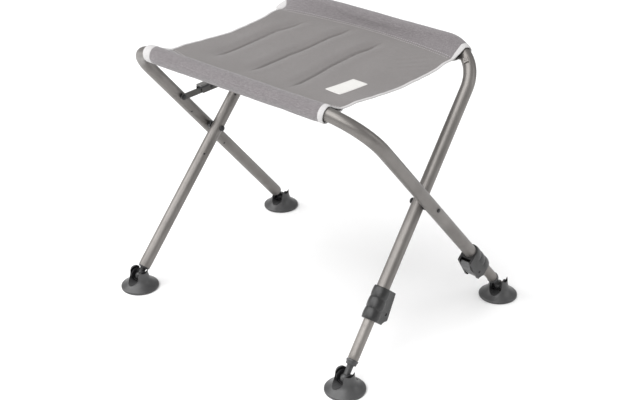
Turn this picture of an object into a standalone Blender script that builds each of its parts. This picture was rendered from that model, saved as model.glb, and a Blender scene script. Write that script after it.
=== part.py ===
# Folding camp stool: two crossed U-shaped tube frames, a slung fabric seat,
# a knee-jointed side brace, two telescopic legs and four ball-jointed feet.
# Metres, +Z up. X runs along the seat bars, Y across them.
import bpy
import bmesh
import math
from mathutils import Matrix, Vector

# ---------------------------------------------------------------- dimensions
LEG_R = 0.011            # outer tube radius
WALL = 0.0015            # outer tube wall
BAR_Y = 0.1765           # seat bar offset from the middle plane
BAR_Z = 0.4578           # seat bar axis height
HUB_Y = 0.1985           # foot ball offset
HUB_Z = 0.0225           # foot ball height
WA_TOP, WA_FOOT = 0.2567, 0.2645    # half width of frame A at the bar and at the ball
WB_TOP, WB_FOOT = 0.2190, 0.2445    # half width of frame B
BEND_A, BEND_B = 0.0810, 0.0705   # bend radii of the tube axis
GAP = 0.0003             # clearance between neighbouring pieces

PIVOT_Z = HUB_Z + (BAR_Z - HUB_Z) * HUB_Y / (HUB_Y + BAR_Y)
LEG_L = math.hypot(HUB_Y + BAR_Y, BAR_Z - HUB_Z)
SY, CZ = (HUB_Y + BAR_Y) / LEG_L, (BAR_Z - HUB_Z) / LEG_L

END_AL, END_BL = 0.0215, 0.0190   # lower ends of the plain legs, from the ball
COL_A, COL_B = 0.084, 0.100       # lower ends of the clamp collars, from the ball
COL_H = 0.056                     # collar length
TUBE_IN_COL = 0.036               # the outer tube ends this far above the collar's lower end
IN_R, IN_WALL = 0.009, 0.0012     # telescopic tube
IN_TOP_A, IN_TOP_B = 0.2442, 0.2312

SLEEVE_R = 0.015
SLEEVE_XA, SLEEVE_XB = 0.200, 0.196

BOLT_R, BOLT_HOLE_R = 0.003, 0.00345
DIMPLE_R = 0.0030

BRACE_Y = 0.066
BRACE_Z = HUB_Z + (BAR_Z - HUB_Z) * (HUB_Y + BRACE_Y) / (HUB_Y + BAR_Y)
LINK_A_X = (-0.2440, -0.2420)
CHAN_X = (-0.2458, -0.2444, -0.2416, -0.2402)

BALL_R = 0.008
NECK_R = 0.0048
SLOT_W = 0.0105          # half width of the slot in a foot
RIM_R = 0.034

PAN_TOP = 0.4505         # top of the seat cloth beside the bars
PAN_SAG = 0.0040         # extra sag at the middle
PAN_T = 0.0024           # thickness of the seat cloth body
PAN_START = 0.0140       # first point of the cloth, inward from the bar axis
PAN_XA, PAN_XM, PAN_XB = 0.190, 0.191, 0.184

# ---------------------------------------------------------------- scene set-up
for o in list(bpy.data.objects):
    bpy.data.objects.remove(o, do_unlink=True)

scene = bpy.context.scene
scene.unit_settings.system = 'METRIC'
scene.unit_settings.scale_length = 1.0
parts = bpy.data.collections.new("camp_stool")
scene.collection.children.link(parts)
tools = bpy.data.collections.new("cutters")
scene.collection.children.link(tools)


def material(name, rgb, rough, metal):
    m = bpy.data.materials.new(name)
    m.use_nodes = True
    b = m.node_tree.nodes["Principled BSDF"]
    b.inputs["Base Color"].default_value = (*rgb, 1.0)
    b.inputs["Roughness"].default_value = rough
    b.inputs["Metallic"].default_value = metal
    m.diffuse_color = (*rgb, 1.0)
    return m


M_TUBE = material("tube_metal", (0.36, 0.33, 0.30), 0.35, 0.9)
M_TUBE_IN = material("inner_tube_metal", (0.38, 0.35, 0.32), 0.38, 0.9)
M_PLASTIC = material("charcoal_plastic", (0.09, 0.09, 0.095), 0.42, 0.0)
M_PLASTIC_B = material("collar_plastic", (0.085, 0.085, 0.09), 0.45, 0.0)
M_LINER = material("liner_plastic", (0.03, 0.03, 0.032), 0.3, 0.0)
M_STEEL = material("dark_steel", (0.13, 0.125, 0.12), 0.4, 0.8)
M_BOLT = material("black_steel", (0.03, 0.03, 0.03), 0.35, 0.8)
M_TAB = material("tab_plastic", (0.42, 0.41, 0.40), 0.5, 0.0)
M_SLEEVE = material("sleeve_fabric", (0.36, 0.32, 0.33), 0.9, 0.0)
M_SEAT = material("seat_fabric", (0.35, 0.33, 0.31), 0.9, 0.0)
M_LABEL = material("label_fabric", (0.82, 0.81, 0.82), 0.85, 0.0)
M_SCREW = material("bright_screw", (0.6, 0.6, 0.6), 0.3, 0.9)


# ---------------------------------------------------------------- helpers
def empty(name, loc):
    e = bpy.data.objects.new(name, None)
    e.location = loc
    parts.objects.link(e)
    return e


def put(o, mat, parent, basis=None):
    """Link a finished piece; its world placement is `basis`."""
    parts.objects.link(o)
    o.data.shade_smooth()
    o.data.set_sharp_from_angle(angle=math.radians(35))
    if basis is not None:
        o.matrix_basis = basis
    if mat is not None:
        o.data.materials.clear()
        o.data.materials.append(mat)
    if parent is not None:
        o.parent = parent
        o.matrix_parent_inverse = Matrix.Translation(-Vector(parent.location))
    return o


def tool(o, basis=None):
    tools.objects.link(o)
    if basis is not None:
        o.matrix_basis = basis
    o.hide_render = True
    o.display_type = 'WIRE'
    return o


def boolean(o, cutter, op='DIFFERENCE'):
    m = o.modifiers.new(op.lower(), 'BOOLEAN')
    m.operation = op
    m.solver = 'EXACT'
    m.object = cutter
    return m


def bevel(o, width, segments=2, angle=40):
    m = o.modifiers.new("bevel", 'BEVEL')
    m.width = width
    m.segments = segments
    m.limit_method = 'ANGLE'
    m.angle_limit = math.radians(angle)
    return m


def box_mesh(name, lo, hi):
    bm = bmesh.new()
    bmesh.ops.create_cube(bm, size=1.0)
    for v in bm.verts:
        v.co = Vector([lo[i] + (v.co[i] + 0.5) * (hi[i] - lo[i]) for i in range(3)])
    me = bpy.data.meshes.new(name)
    bm.to_mesh(me)
    bm.free()
    return bpy.data.objects.new(name, me)


AXIS_ROT = {
    'Z': Matrix.Identity(4),
    'X': Matrix.Rotation(math.radians(90), 4, 'Y'),
    'Y': Matrix.Rotation(math.radians(-90), 4, 'X'),
}


def cyl_mesh(name, r, lo, hi, axis='Z', sides=24, centre=(0, 0, 0)):
    """Cylinder from lo to hi along an axis, centred on a point across it."""
    bm = bmesh.new()
    bmesh.ops.create_cone(bm, cap_ends=True, segments=sides, radius1=r, radius2=r, depth=hi - lo,
                          matrix=Matrix.Translation(centre) @ AXIS_ROT[axis] @ Matrix.Translation((0, 0, (lo + hi) / 2)))
    me = bpy.data.meshes.new(name)
    bm.to_mesh(me)
    bm.free()
    return bpy.data.objects.new(name, me)


def ball_mesh(name, r, centre=(0, 0, 0), u=24, v=14):
    bm = bmesh.new()
    bmesh.ops.create_uvsphere(bm, u_segments=u, v_segments=v, radius=r, matrix=Matrix.Translation(centre))
    me = bpy.data.meshes.new(name)
    bm.to_mesh(me)
    bm.free()
    return bpy.data.objects.new(name, me)


def lathe(name, pts, steps=32, closed=False):
    """Profile of (radius, height) points turned about local Z by a Screw modifier."""
    bm = bmesh.new()
    vs = [bm.verts.new((r, 0.0, z)) for r, z in pts]
    for a, b in zip(vs, vs[1:]):
        bm.edges.new((a, b))
    if closed:
        bm.edges.new((vs[-1], vs[0]))
    me = bpy.data.meshes.new(name)
    bm.to_mesh(me)
    bm.free()
    o = bpy.data.objects.new(name, me)
    s = o.modifiers.new("turn", 'SCREW')
    s.axis = 'Z'
    s.angle = math.tau
    s.screw_offset = 0.0
    s.steps = steps
    s.render_steps = steps
    s.use_merge_vertices = True
    s.merge_threshold = 1e-6
    return o


def prism(name, outline, half, basis_axes=('Y', 'Z'), lo=None, hi=None):
    """Closed outline extruded along the third axis between lo and hi."""
    lo = -half if lo is None else lo
    hi = half if hi is None else hi
    bm = bmesh.new()
    ids = {'X': 0, 'Y': 1, 'Z': 2}
    a, b = ids[basis_axes[0]], ids[basis_axes[1]]
    c = 3 - a - b
    loops = []
    for t in (lo, hi):
        ring = []
        for p in outline:
            co = [0.0, 0.0, 0.0]
            co[a], co[b], co[c] = p[0], p[1], t
            ring.append(bm.verts.new(co))
        loops.append(ring)
    n = len(outline)
    for i in range(n):
        bm.faces.new((loops[0][i], loops[0][(i + 1) % n], loops[1][(i + 1) % n], loops[1][i]))
    bm.faces.new(loops[0][::-1])
    bm.faces.new(loops[1])
    bmesh.ops.recalc_face_normals(bm, faces=bm.faces)
    me = bpy.data.meshes.new(name)
    bm.to_mesh(me)
    bm.free()
    return bpy.data.objects.new(name, me)


def fillet(pts, radius, n=9):
    """Polyline with its inner corners rounded."""
    out = [Vector(pts[0])]
    for i in range(1, len(pts) - 1):
        p0, p, p1 = Vector(pts[i - 1]), Vector(pts[i]), Vector(pts[i + 1])
        d0, d1 = (p0 - p).normalized(), (p1 - p).normalized()
        ang = d0.angle(d1)
        t = radius / math.tan(ang / 2)
        c = p + (d0 + d1).normalized() * radius / math.sin(ang / 2)
        s, e = p + d0 * t - c, p + d1 * t - c
        sweep = s.angle(e)
        nrm = s.cross(e).normalized()
        for k in range(n + 1):
            out.append(c + Matrix.Rotation(sweep * k / n, 3, nrm) @ s)
    out.append(Vector(pts[-1]))
    return out


def cut_path(path, s0, s1):
    """The stretch of a polyline between two lengths along it."""
    out, run = [], 0.0
    for a, b in zip(path, path[1:]):
        d = (b - a).length
        if run + d > s0 and run < s1:
            if not out:
                out.append(a.lerp(b, max(0.0, (s0 - run) / d)))
            if run + d >= s1:
                out.append(a.lerp(b, (s1 - run) / d))
                break
            out.append(b.copy())
        run += d
    return out


def tube_mesh(name, path, radius, wall):
    """Round pipe along a path in its own XY plane."""
    cu = bpy.data.curves.new(name, 'CURVE')
    cu.dimensions = '3D'
    cu.twist_mode = 'Z_UP'
    cu.bevel_depth = radius
    cu.bevel_resolution = 6
    cu.use_fill_caps = False
    sp = cu.splines.new('POLY')
    sp.points.add(len(path) - 1)
    for q, p in zip(sp.points, path):
        q.co = (p.x, p.y, p.z, 1.0)
    tmp = bpy.data.objects.new(name + "_curve", cu)
    scene.collection.objects.link(tmp)
    bpy.context.view_layer.update()
    me = bpy.data.meshes.new_from_object(tmp.evaluated_get(bpy.context.evaluated_depsgraph_get()))
    bpy.data.objects.remove(tmp, do_unlink=True)
    bpy.data.curves.remove(cu)
    bm = bmesh.new()
    bm.from_mesh(me)
    bmesh.ops.remove_doubles(bm, verts=bm.verts, dist=1e-6)
    bmesh.ops.recalc_face_normals(bm, faces=bm.faces)
    bm.to_mesh(me)
    bm.free()
    me.name = name
    o = bpy.data.objects.new(name, me)
    s = o.modifiers.new("wall", 'SOLIDIFY')
    s.thickness = wall
    s.offset = -1.0
    s.use_even_offset = True
    s.use_rim = True
    return o


# ---------------------------------------------------------------- frames of reference
def half_width(top, foot, s):
    """Leg axis distance from the middle, s metres up the leg from the ball."""
    return foot + (top - foot) * s / LEG_L


def plane_matrix(side):
    """Frame plane: local X along the bar, local Y down the legs. side -1 is frame A."""
    down = Vector((0, -side * SY, -CZ))
    x = Vector((1, 0, 0))
    z = x.cross(down)
    m = Matrix((x, down, z)).transposed().to_4x4()
    m.translation = (0, side * BAR_Y, BAR_Z)
    return m


def leg_matrix(side, hand):
    """Leg frame at the ball: local Z up the leg, local Y to its underside."""
    top, foot = (WA_TOP, WA_FOOT) if side < 0 else (WB_TOP, WB_FOOT)
    ball = Vector((hand * foot, -side * HUB_Y, HUB_Z))
    bar = Vector((hand * top, side * BAR_Y, BAR_Z))
    up = (bar - ball).normalized()
    under = Vector((0, side * CZ, -SY))
    x = under.cross(up).normalized()
    m = Matrix((x, under, up)).transposed().to_4x4()
    m.translation = ball
    return m


def u_path(top, foot, radius, s_left, s_right):
    def x(s):
        return half_width(top, foot, s)
    pts = [Vector((-x(s_left), LEG_L - s_left, 0)), Vector((-top, 0, 0)),
           Vector((top, 0, 0)), Vector((x(s_right), LEG_L - s_right, 0))]
    return fillet(pts, radius)


def path_length(path):
    return sum((b - a).length for a, b in zip(path, path[1:]))


def s_at_x(path, x):
    """Length along the path where it first passes x on the bar side."""
    run, best = 0.0, 0.0
    for a, b in zip(path, path[1:]):
        d = (b - a).length
        if a.y < 0.09 and b.y < 0.09 and a.x <= x <= b.x:
            return run + d * (x - a.x) / (b.x - a.x)
        run += d
    return best


PIVOT = Vector((0, 0, PIVOT_Z))
A, B = -1, 1
PA, PB = plane_matrix(A), plane_matrix(B)

root_a = empty("origin_frame_a", (0, 0, 0))
root_b = empty("axis_fold", PIVOT)

# ---------------------------------------------------------------- frame tubes
path_a = u_path(WA_TOP, WA_FOOT, BEND_A, END_AL, COL_A + TUBE_IN_COL)
path_b = u_path(WB_TOP, WB_FOOT, BEND_B, END_BL, COL_B + TUBE_IN_COL)
tube_a = put(tube_mesh("outer_frame_tube", path_a, LEG_R, WALL), M_TUBE, root_a, PA)
tube_b = put(tube_mesh("inner_frame_tube", path_b, LEG_R, WALL), M_TUBE, root_b, PB)

PX_A = half_width(WA_TOP, WA_FOOT, HUB_Y / SY)
PX_B = half_width(WB_TOP, WB_FOOT, HUB_Y / SY)
for hand in (-1, 1):
    for tube, px, tag in ((tube_a, PX_A, "a"), (tube_b, PX_B, "b")):
        lo, hi = sorted((hand * (px - 0.02), hand * (px + 0.02)))
        boolean(tube, tool(cyl_mesh("bolt_hole_%s_%d" % (tag, hand), BOLT_HOLE_R, lo, hi, 'X', 14,
                                    (0, 0, PIVOT_Z)), Matrix.Identity(4)))

# Brace rivet hole in the outer frame, through the near wall only.
S_BR = (HUB_Y + BRACE_Y) / SY
BX_A = -half_width(WA_TOP, WA_FOOT, S_BR)
RIV_HOLE = 0.0027
boolean(tube_a, tool(cyl_mesh("rivet_hole_a", RIV_HOLE, BX_A + 0.004, BX_A + 0.0145, 'X', 12,
                              (0, -BRACE_Y, BRACE_Z)), Matrix.Identity(4)))

# Punched dimples on the two plain legs.
for side, tube, stations in ((A, tube_a, (0.361, 0.241)), (B, tube_b, (0.371, 0.249))):
    lm = leg_matrix(side, -1)
    for i, s in enumerate(stations):
        ang = math.radians(-38)
        # local X of a leg frame points to -X for frame A and +X for frame B
        dx = -math.cos(ang) * (1 if side < 0 else -1)
        dy = math.sin(ang) * (1 if side > 0 else -1)
        off = LEG_R + DIMPLE_R * 0.72
        c = lm @ Vector((dx * off, dy * off, s))
        boolean(tube, tool(ball_mesh("dimple_%d_%d" % (side, i), DIMPLE_R, (0, 0, 0), 10, 6), Matrix.Translation(c)))

# ---------------------------------------------------------------- pivot bolts, spacers, nuts
for hand, tag in ((1, "right"), (-1, "left")):
    m = Matrix.Translation((0, 0, PIVOT_Z)) @ (AXIS_ROT['X'] if hand > 0 else Matrix.Rotation(math.radians(-90), 4, 'Y'))
    face_a = PX_A + LEG_R
    in_a, out_b, in_b = PX_A - LEG_R, PX_B + LEG_R, PX_B - LEG_R
    tip = in_b - 0.0033
    bolt = lathe("pivot_bolt_" + tag, [(0.0, face_a + 0.0020), (0.0017, face_a + 0.0020), (0.0019, face_a + 0.0016),
                                       (0.0032, face_a + 0.0014), (0.0038, face_a + 0.0008), (0.0038, face_a + 0.0003),
                                       (BOLT_R, face_a + 0.0003), (BOLT_R, tip), (0.0, tip)], 14)
    put(bolt, M_BOLT, root_a, m)
    spacer = lathe("pivot_spacer_" + tag, [(0.0070, in_a - 0.0004), (0.0074, in_a - 0.0010), (0.0074, out_b + 0.0010),
                                           (0.0070, out_b + 0.0004), (0.0034, out_b + 0.0004), (0.0034, in_a - 0.0004)],
                   16, True)
    put(spacer, M_LINER, root_a, m)
    top = in_b - 0.0003
    nut = lathe("pivot_nut_" + tag, [(0.0, top), (0.0052, top), (0.0054, top - 0.0006), (0.0052, top - 0.0026),
                                     (0.0042, top - 0.0038), (0.0022, top - 0.0046), (0.0, top - 0.0048)], 14)
    boolean(nut, tool(cyl_mesh("nut_bore_" + tag, 0.0034, top - 0.0034, top + 0.004, 'Z', 14), m))
    put(nut, M_BOLT, root_b, m)

# ---------------------------------------------------------------- collars, levers, telescopic legs
PIN_Y, PIN_Z = 0.0182, 0.0184
LEVER_DEG = 25
WALL_X, LEVER_X = 0.0095, 0.0090


def collar(tag, side, z0, parent):
    lm = leg_matrix(side, 1)
    z1 = z0 + COL_H
    n = 3
    prof = [(0.0098, z1), (0.0136, z1)]
    pitch = COL_H / n
    for i in range(n):
        hi = z1 - i * pitch
        for f, r in ((0.05, 0.0140), (0.28, 0.0147), (0.72, 0.0147), (0.95, 0.0140)):
            prof.append((r, hi - f * pitch))
    prof += [(0.0136, z0), (0.0098, z0)]
    ring = lathe("collar_" + tag, prof, 24, True)
    ring_bore = cyl_mesh("collar_bore_low_" + tag, IN_R + 0.0004, z0 - 0.002, z0 + TUBE_IN_COL, 'Z', 24)
    ring_bore_hi = cyl_mesh("collar_bore_high_" + tag, LEG_R + 0.0004, z0 + TUBE_IN_COL - 0.0004, z1 + 0.002, 'Z', 24)
    side_wall = [(-0.004, z0), (0.0166, z0), (0.0190, z0 + 0.0036), (0.0232, z0 + 0.0072), (0.0280, z0 + 0.0096),
                 (0.0285, z0 + 0.0125), (0.0215, z1 - 0.0012), (0.0202, z1), (-0.004, z1)]
    housing = prism("collar_housing_" + tag, side_wall, 0.0136)
    boolean(ring, tool(housing, lm), 'UNION')
    boolean(ring, tool(ring_bore, lm))
    boolean(ring, tool(ring_bore_hi, lm))
    lo = box_mesh("collar_channel_low_" + tag, (-WALL_X, 0.0118, z0 - 0.002), (WALL_X, 0.040, z0 + TUBE_IN_COL - 0.001))
    hi = box_mesh("collar_channel_high_" + tag, (-WALL_X, 0.0137, z0 + TUBE_IN_COL - 0.002), (WALL_X, 0.040, z1 + 0.002))
    win = box_mesh("collar_window_" + tag, (-0.0040, 0.004, z0 + 0.0225), (0.0040, 0.016, z0 + 0.0340))
    pin_hole = cyl_mesh("collar_pin_hole_" + tag, 0.0019, -0.02, 0.02, 'X', 12, (0, PIN_Y, z0 + PIN_Z))
    for c in (lo, hi, win, pin_hole):
        boolean(ring, tool(c, lm))
    put(ring, M_PLASTIC_B, parent, lm)

    pin = cyl_mesh("lever_pin_" + tag, 0.0015, -0.0132, 0.0132, 'X', 12, (0, PIN_Y, z0 + PIN_Z))
    put(pin, M_BOLT, parent, lm)

    # lever: local origin on its pin
    axis = lm @ Vector((0, PIN_Y, z0 + PIN_Z))
    e = empty("axis_lever_" + tag, axis)
    lev = Matrix.Translation((0, -PIN_Y, -z0 - PIN_Z))
    prof = [(0.0148, z0 + 0.0122), (0.0176, z0 + 0.0105), (0.0225, z0 + 0.0112), (0.0268, z0 + 0.0135),
            (0.0262, z0 + 0.0400), (0.0236, z0 + 0.0470), (0.0188, z0 + 0.0520), (0.0172, z0 + 0.0505),
            (0.0192, z0 + 0.0440), (0.0160, z0 + 0.0385), (0.0142, z0 + 0.0340), (0.0142, z0 + 0.0150)]
    body = prism("lock_lever_" + tag, [(y - PIN_Y, z - z0 - PIN_Z) for y, z in prof], LEVER_X)
    tooth = box_mesh("lever_tooth_" + tag, (-0.003, 0.0093 - PIN_Y, 0.0256 - PIN_Z), (0.003, 0.0150 - PIN_Y, 0.0306 - PIN_Z))
    hole = cyl_mesh("lever_hole_" + tag, 0.0019, -0.012, 0.012, 'X', 12)
    bevel(body, 0.0007, 1, 30)
    lmp = lm @ Matrix.Translation((0, PIN_Y, z0 + PIN_Z))
    boolean(body, tool(tooth, lmp), 'UNION')
    boolean(body, tool(hole, lmp))
    put(body, M_PLASTIC, e, lmp)

    # return spring: a thin bent leaf lying on the channel floor under the lever's tail
    leaf = [(0.0120, z0 + 0.0004), (0.0123, z0 + 0.0004), (0.0138, z0 + 0.0060), (0.0131, z0 + 0.0104),
            (0.0128, z0 + 0.0104), (0.0134, z0 + 0.0060)]
    put(prism("lever_spring_" + tag, leaf, 0.004), M_STEEL, parent, lm)
    return lm


lm_ar = collar("a", A, COL_A, root_a)
lm_br = collar("b", B, COL_B, root_b)


def stem_profile(ball_r, neck_r, flange_lo, flange_hi, flange_r, plug_r, plug_hi):
    """Ball, neck, shoulder and plug, from the top down to the bottom of the ball."""
    pts = [(0.0, plug_hi), (plug_r - 0.0006, plug_hi), (plug_r, plug_hi - 0.0008), (plug_r, flange_hi)]
    if flange_r > plug_r:
        pts += [(flange_r - 0.0004, flange_hi), (flange_r, flange_hi - 0.0006), (flange_r, flange_lo + 0.0012),
                (flange_r - 0.0012, flange_lo)]
    else:
        pts += [(flange_r, flange_lo)]
    pts += [(neck_r, flange_lo)]
    a0 = math.asin(neck_r / ball_r)
    n = 6
    for i in range(n + 1):
        a = a0 + (math.pi - a0) * i / n
        pts.append((ball_r * math.sin(a) if i < n else 0.0, ball_r * math.cos(a)))
    out = []
    for p in pts:
        if not out or (Vector(p) - Vector(out[-1])).length > 1e-5:
            out.append(p)
    return out


def leg(tag, side, lm, top_s, z0):
    axis = empty("axis_leg_" + tag, lm.translation)
    start = 0.0318
    tube = lathe("inner_leg_tube_" + tag, [(IN_R, top_s), (IN_R, start), (IN_R - IN_WALL, start), (IN_R - IN_WALL, top_s)],
                 20, True)
    put(tube, M_TUBE_IN, axis, lm)
    # adjusting holes along the underside
    n, pitch = 7, 0.020
    first = z0 + 0.0281 - 2 * pitch
    for i in range(n):
        z = first + i * pitch
        if start + 0.008 < z < top_s - 0.02:
            h = cyl_mesh("adjust_hole_%s_%d" % (tag, i), 0.0034, 0.004, 0.016, 'Y', 10, (0, 0, z))
            boolean(tube, tool(h, lm))
    stem = lathe("foot_stem_%sr" % tag, stem_profile(BALL_R, NECK_R, 0.0225, 0.0315, 0.0100, 0.0074, 0.045), 16)
    put(stem, M_PLASTIC, axis, lm)
    guide = lathe("leg_guide_" + tag, [(0.0, top_s + 0.0036), (0.0080, top_s + 0.0036), (0.0091, top_s + 0.0026),
                                       (0.0091, top_s + 0.0003), (0.0074, top_s + 0.0003), (0.0074, top_s - 0.012),
                                       (0.0, top_s - 0.012)], 16)
    put(guide, M_PLASTIC, axis, lm)


leg("a", A, lm_ar, IN_TOP_A, COL_A)
leg("b", B, lm_br, IN_TOP_B, COL_B)

for tag, side, end, parent in (("a", A, END_AL, root_a), ("b", B, END_BL, root_b)):
    stem = lathe("foot_stem_%sl" % tag, stem_profile(BALL_R, NECK_R, end + 0.0022, end + 0.0022, 0.0090, 0.0090, end + 0.019), 16)
    put(stem, M_PLASTIC, parent, leg_matrix(side, -1))


# ---------------------------------------------------------------- feet
def foot(tag, side, hand, yaw):
    top, wf = (WA_TOP, WA_FOOT) if side < 0 else (WB_TOP, WB_FOOT)
    c = Vector((hand * wf, -side * HUB_Y, HUB_Z))
    m = Matrix.Translation(c) @ Matrix.Rotation(math.radians(yaw), 4, 'Z')
    e = empty("axis_foot_" + tag, c)
    h = -HUB_Z
    hub_r, hub_top = 0.0160, 0.0150
    prof = [(0.0, hub_top), (hub_r - 0.0012, hub_top), (hub_r - 0.0003, hub_top - 0.0020)]
    # concave flare from the hub down to the rim
    n, z_hub, z_rim = 6, 0.0075, h + 0.0046
    for i in range(n + 1):
        t = i / n
        z = z_hub + (z_rim - z_hub) * t
        prof.append((hub_r + (RIM_R - 0.0004 - hub_r) * (0.18 * t + 0.82 * t ** 3.1), z))
    prof += [(RIM_R, h + 0.0036), (RIM_R - 0.0002, h + 0.0014), (RIM_R - 0.0014, h), (0.0, h)]
    bell = lathe("foot_bell_" + tag, prof, 28)
    slot = box_mesh("foot_slot_" + tag, (-SLOT_W, -0.05, -0.001), (SLOT_W, 0.05, 0.05))
    slot_u = cyl_mesh("foot_slot_round_" + tag, SLOT_W, -0.05, 0.05, 'Y', 20, (0, 0, -0.0010))
    saddle = cyl_mesh("foot_saddle_" + tag, 0.0162, -0.05, 0.05, 'X', 32, (0, 0, 0.0254))
    drum = cyl_mesh("foot_drum_" + tag, 0.0116, -SLOT_W, SLOT_W, 'X', 24)
    boolean(slot, tool(slot_u, m), 'UNION')
    for cut in (slot, saddle, drum):
        boolean(bell, tool(cut, m))
    put(bell, M_PLASTIC, e, m)

    # socket liner: drum lying across the foot, open between its two cheeks
    r0, r1, w0, w1 = 0.0112, 0.0102, 0.0102, 0.0074
    liner = lathe("foot_liner_" + tag, [(0.0, w0), (r0 - 0.0006, w0), (r0, w0 - 0.0006), (r0, w1), (r1, w1), (r1, -w1),
                                        (r0, -w1), (r0, -w0 + 0.0006), (r0 - 0.0006, -w0), (0.0, -w0)], 20)
    ml = m @ AXIS_ROT['X']
    socket = ball_mesh("foot_socket_" + tag, BALL_R + 0.0009, (0, 0, 0), 12, 8)
    mouth = box_mesh("foot_mouth_" + tag, (-0.0072, -0.03, -0.0045), (0.0072, 0.03, 0.03))
    boolean(liner, tool(socket, m))
    boolean(liner, tool(mouth, m))
    put(liner, M_LINER, e, ml)


foot("al", A, -1, 0)
foot("ar", A, 1, 12)
foot("bl", B, -1, 0)
foot("br", B, 1, -6)

# ---------------------------------------------------------------- seat sleeves
for name, path, pm, xe, parent in (("seat_sleeve_front", path_a, PA, SLEEVE_XA, root_a),
                                   ("seat_sleeve_rear", path_b, PB, SLEEVE_XB, root_b)):
    sub = cut_path(path, s_at_x(path, -xe), s_at_x(path, xe))
    put(tube_mesh(name, sub, SLEEVE_R, SLEEVE_R - LEG_R - 0.00035), M_SLEEVE, parent, pm)


# ---------------------------------------------------------------- seat cloth
def cloth_z(t):
    """Height of the cloth's top, t = 0 at a bar and 1 at the middle."""
    return PAN_TOP - PAN_SAG * math.sin(t * math.pi / 2) ** 1.3


def seat_half(name, side, x_bar, corner, parent):
    """Half of the cloth. Its outer corners start `corner` further in, beside the bends."""
    n = 8
    grid = []
    for i in range(n + 1):
        t = i / n
        x = x_bar + (PAN_XM - x_bar) * math.sin(t * math.pi / 2)
        row = []
        for f in (-1.0, -0.74, 0.74, 1.0):
            y0 = BAR_Y - PAN_START - (corner if abs(f) == 1.0 else 0.0)
            y = y0 + (GAP - y0) * t
            z = cloth_z((BAR_Y - PAN_START - y) / (BAR_Y - PAN_START - GAP))
            row.append((f * x, side * y, z))
        grid.append(row)
    bm = bmesh.new()
    top = [[bm.verts.new(p) for p in row] for row in grid]
    low = [[bm.verts.new((p[0], p[1], p[2] - PAN_T)) for p in row] for row in grid]
    m = len(grid[0])
    for a in range(n):
        for b in range(m - 1):
            for g in (top, low):
                bm.faces.new((g[a][b], g[a + 1][b], g[a + 1][b + 1], g[a][b + 1]))
    edge = [(0, b) for b in range(m)] + [(a, m - 1) for a in range(1, n + 1)]
    edge += [(n, b) for b in range(m - 2, -1, -1)] + [(a, 0) for a in range(n - 1, 0, -1)]
    for p, q in zip(edge, edge[1:] + edge[:1]):
        bm.faces.new((top[p[0]][p[1]], top[q[0]][q[1]], low[q[0]][q[1]], low[p[0]][p[1]]))
    bmesh.ops.recalc_face_normals(bm, faces=bm.faces)
    me = bpy.data.meshes.new(name)
    bm.to_mesh(me)
    bm.free()
    return put(bpy.data.objects.new(name, me), M_SEAT, parent, Matrix.Identity(4))


axis_sf = empty("axis_seat_front", (0, -BAR_Y, BAR_Z))
axis_sr = empty("axis_seat_rear", (0, BAR_Y, BAR_Z))
seat_half("seat_panel_front", A, PAN_XA, 0.002, axis_sf)
seat_half("seat_panel_rear", B, PAN_XB, 0.0145, axis_sr)

# sewn label near the right edge of the front half
LAB = ((0.112, 0.146), (-0.090, -0.028))
def cloth_at(y):
    return cloth_z((BAR_Y - PAN_START - abs(y)) / (BAR_Y - PAN_START - GAP))


tilt = math.atan2(cloth_at(LAB[1][1]) - cloth_at(LAB[1][0]), LAB[1][1] - LAB[1][0])
lx, ly = (LAB[0][0] + LAB[0][1]) / 2, (LAB[1][0] + LAB[1][1]) / 2
hx, hy = (LAB[0][1] - LAB[0][0]) / 2, (LAB[1][1] - LAB[1][0]) / 2
label = box_mesh("seat_label", (-hx, -hy, 0.0), (hx, hy, 0.0006))
lz = cloth_at(ly) + 0.0008
put(label, M_LABEL, axis_sf, Matrix.Translation((lx, ly, lz)) @ Matrix.Rotation(tilt, 4, 'X'))

# ---------------------------------------------------------------- sleeve clips with screws, frame B
for hand, tag in ((1, "right"), (-1, "left")):
    # point on the tube axis at the clip, and the outward direction on its inner, upper side
    i = min(range(len(path_b)), key=lambda k: abs(path_b[k].x - hand * 0.205) + (path_b[k].y > 0.09))
    p = path_b[i]
    t = (path_b[i + 1] - path_b[i - 1]).normalized() * hand
    ax = PB.to_3x3() @ t
    out = Vector((0, -CZ, SY)).normalized()
    side_dir = ax.cross(out).normalized()
    m = Matrix((ax, side_dir, out)).transposed().to_4x4()
    m.translation = PB @ p
    clip = box_mesh("sleeve_clip_" + tag, (-0.0050, -0.0045, LEG_R + 0.0004), (0.0050, 0.0045, LEG_R + 0.0024))
    bevel(clip, 0.0007, 2, 40)
    put(clip, M_PLASTIC, root_b, m)
    boolean(clip, tool(cyl_mesh("clip_hole_" + tag, 0.0017, LEG_R - 0.004, LEG_R + 0.01, 'Z', 14), m))
    boolean(tube_b, tool(cyl_mesh("clip_tube_hole_" + tag, 0.0017, 0.004, LEG_R + 0.002, 'Z', 14), m))
    screw = lathe("clip_screw_" + tag, [(0.0, LEG_R + 0.0037), (0.0012, LEG_R + 0.0036), (0.0024, LEG_R + 0.0031),
                                        (0.0027, LEG_R + 0.0027), (0.0014, LEG_R + 0.0027), (0.0014, LEG_R - 0.0035),
                                        (0.0, LEG_R - 0.0035)], 16)
    put(screw, M_SCREW, root_b, m)

# ---------------------------------------------------------------- side brace
P_A = Vector((0, -BRACE_Y, BRACE_Z))
P_B = Vector((0, BRACE_Y, BRACE_Z))
KNEE = Vector((0, 0, BRACE_Z))
axis_la = empty("axis_brace_a", (LINK_A_X[0], P_A.y, P_A.z))
axis_lb = empty("axis_brace_knee", (LINK_A_X[0], 0.0, P_A.z))
axis_lock = empty("axis_brace_lock", (LINK_A_X[0], -0.02, P_A.z))


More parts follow.
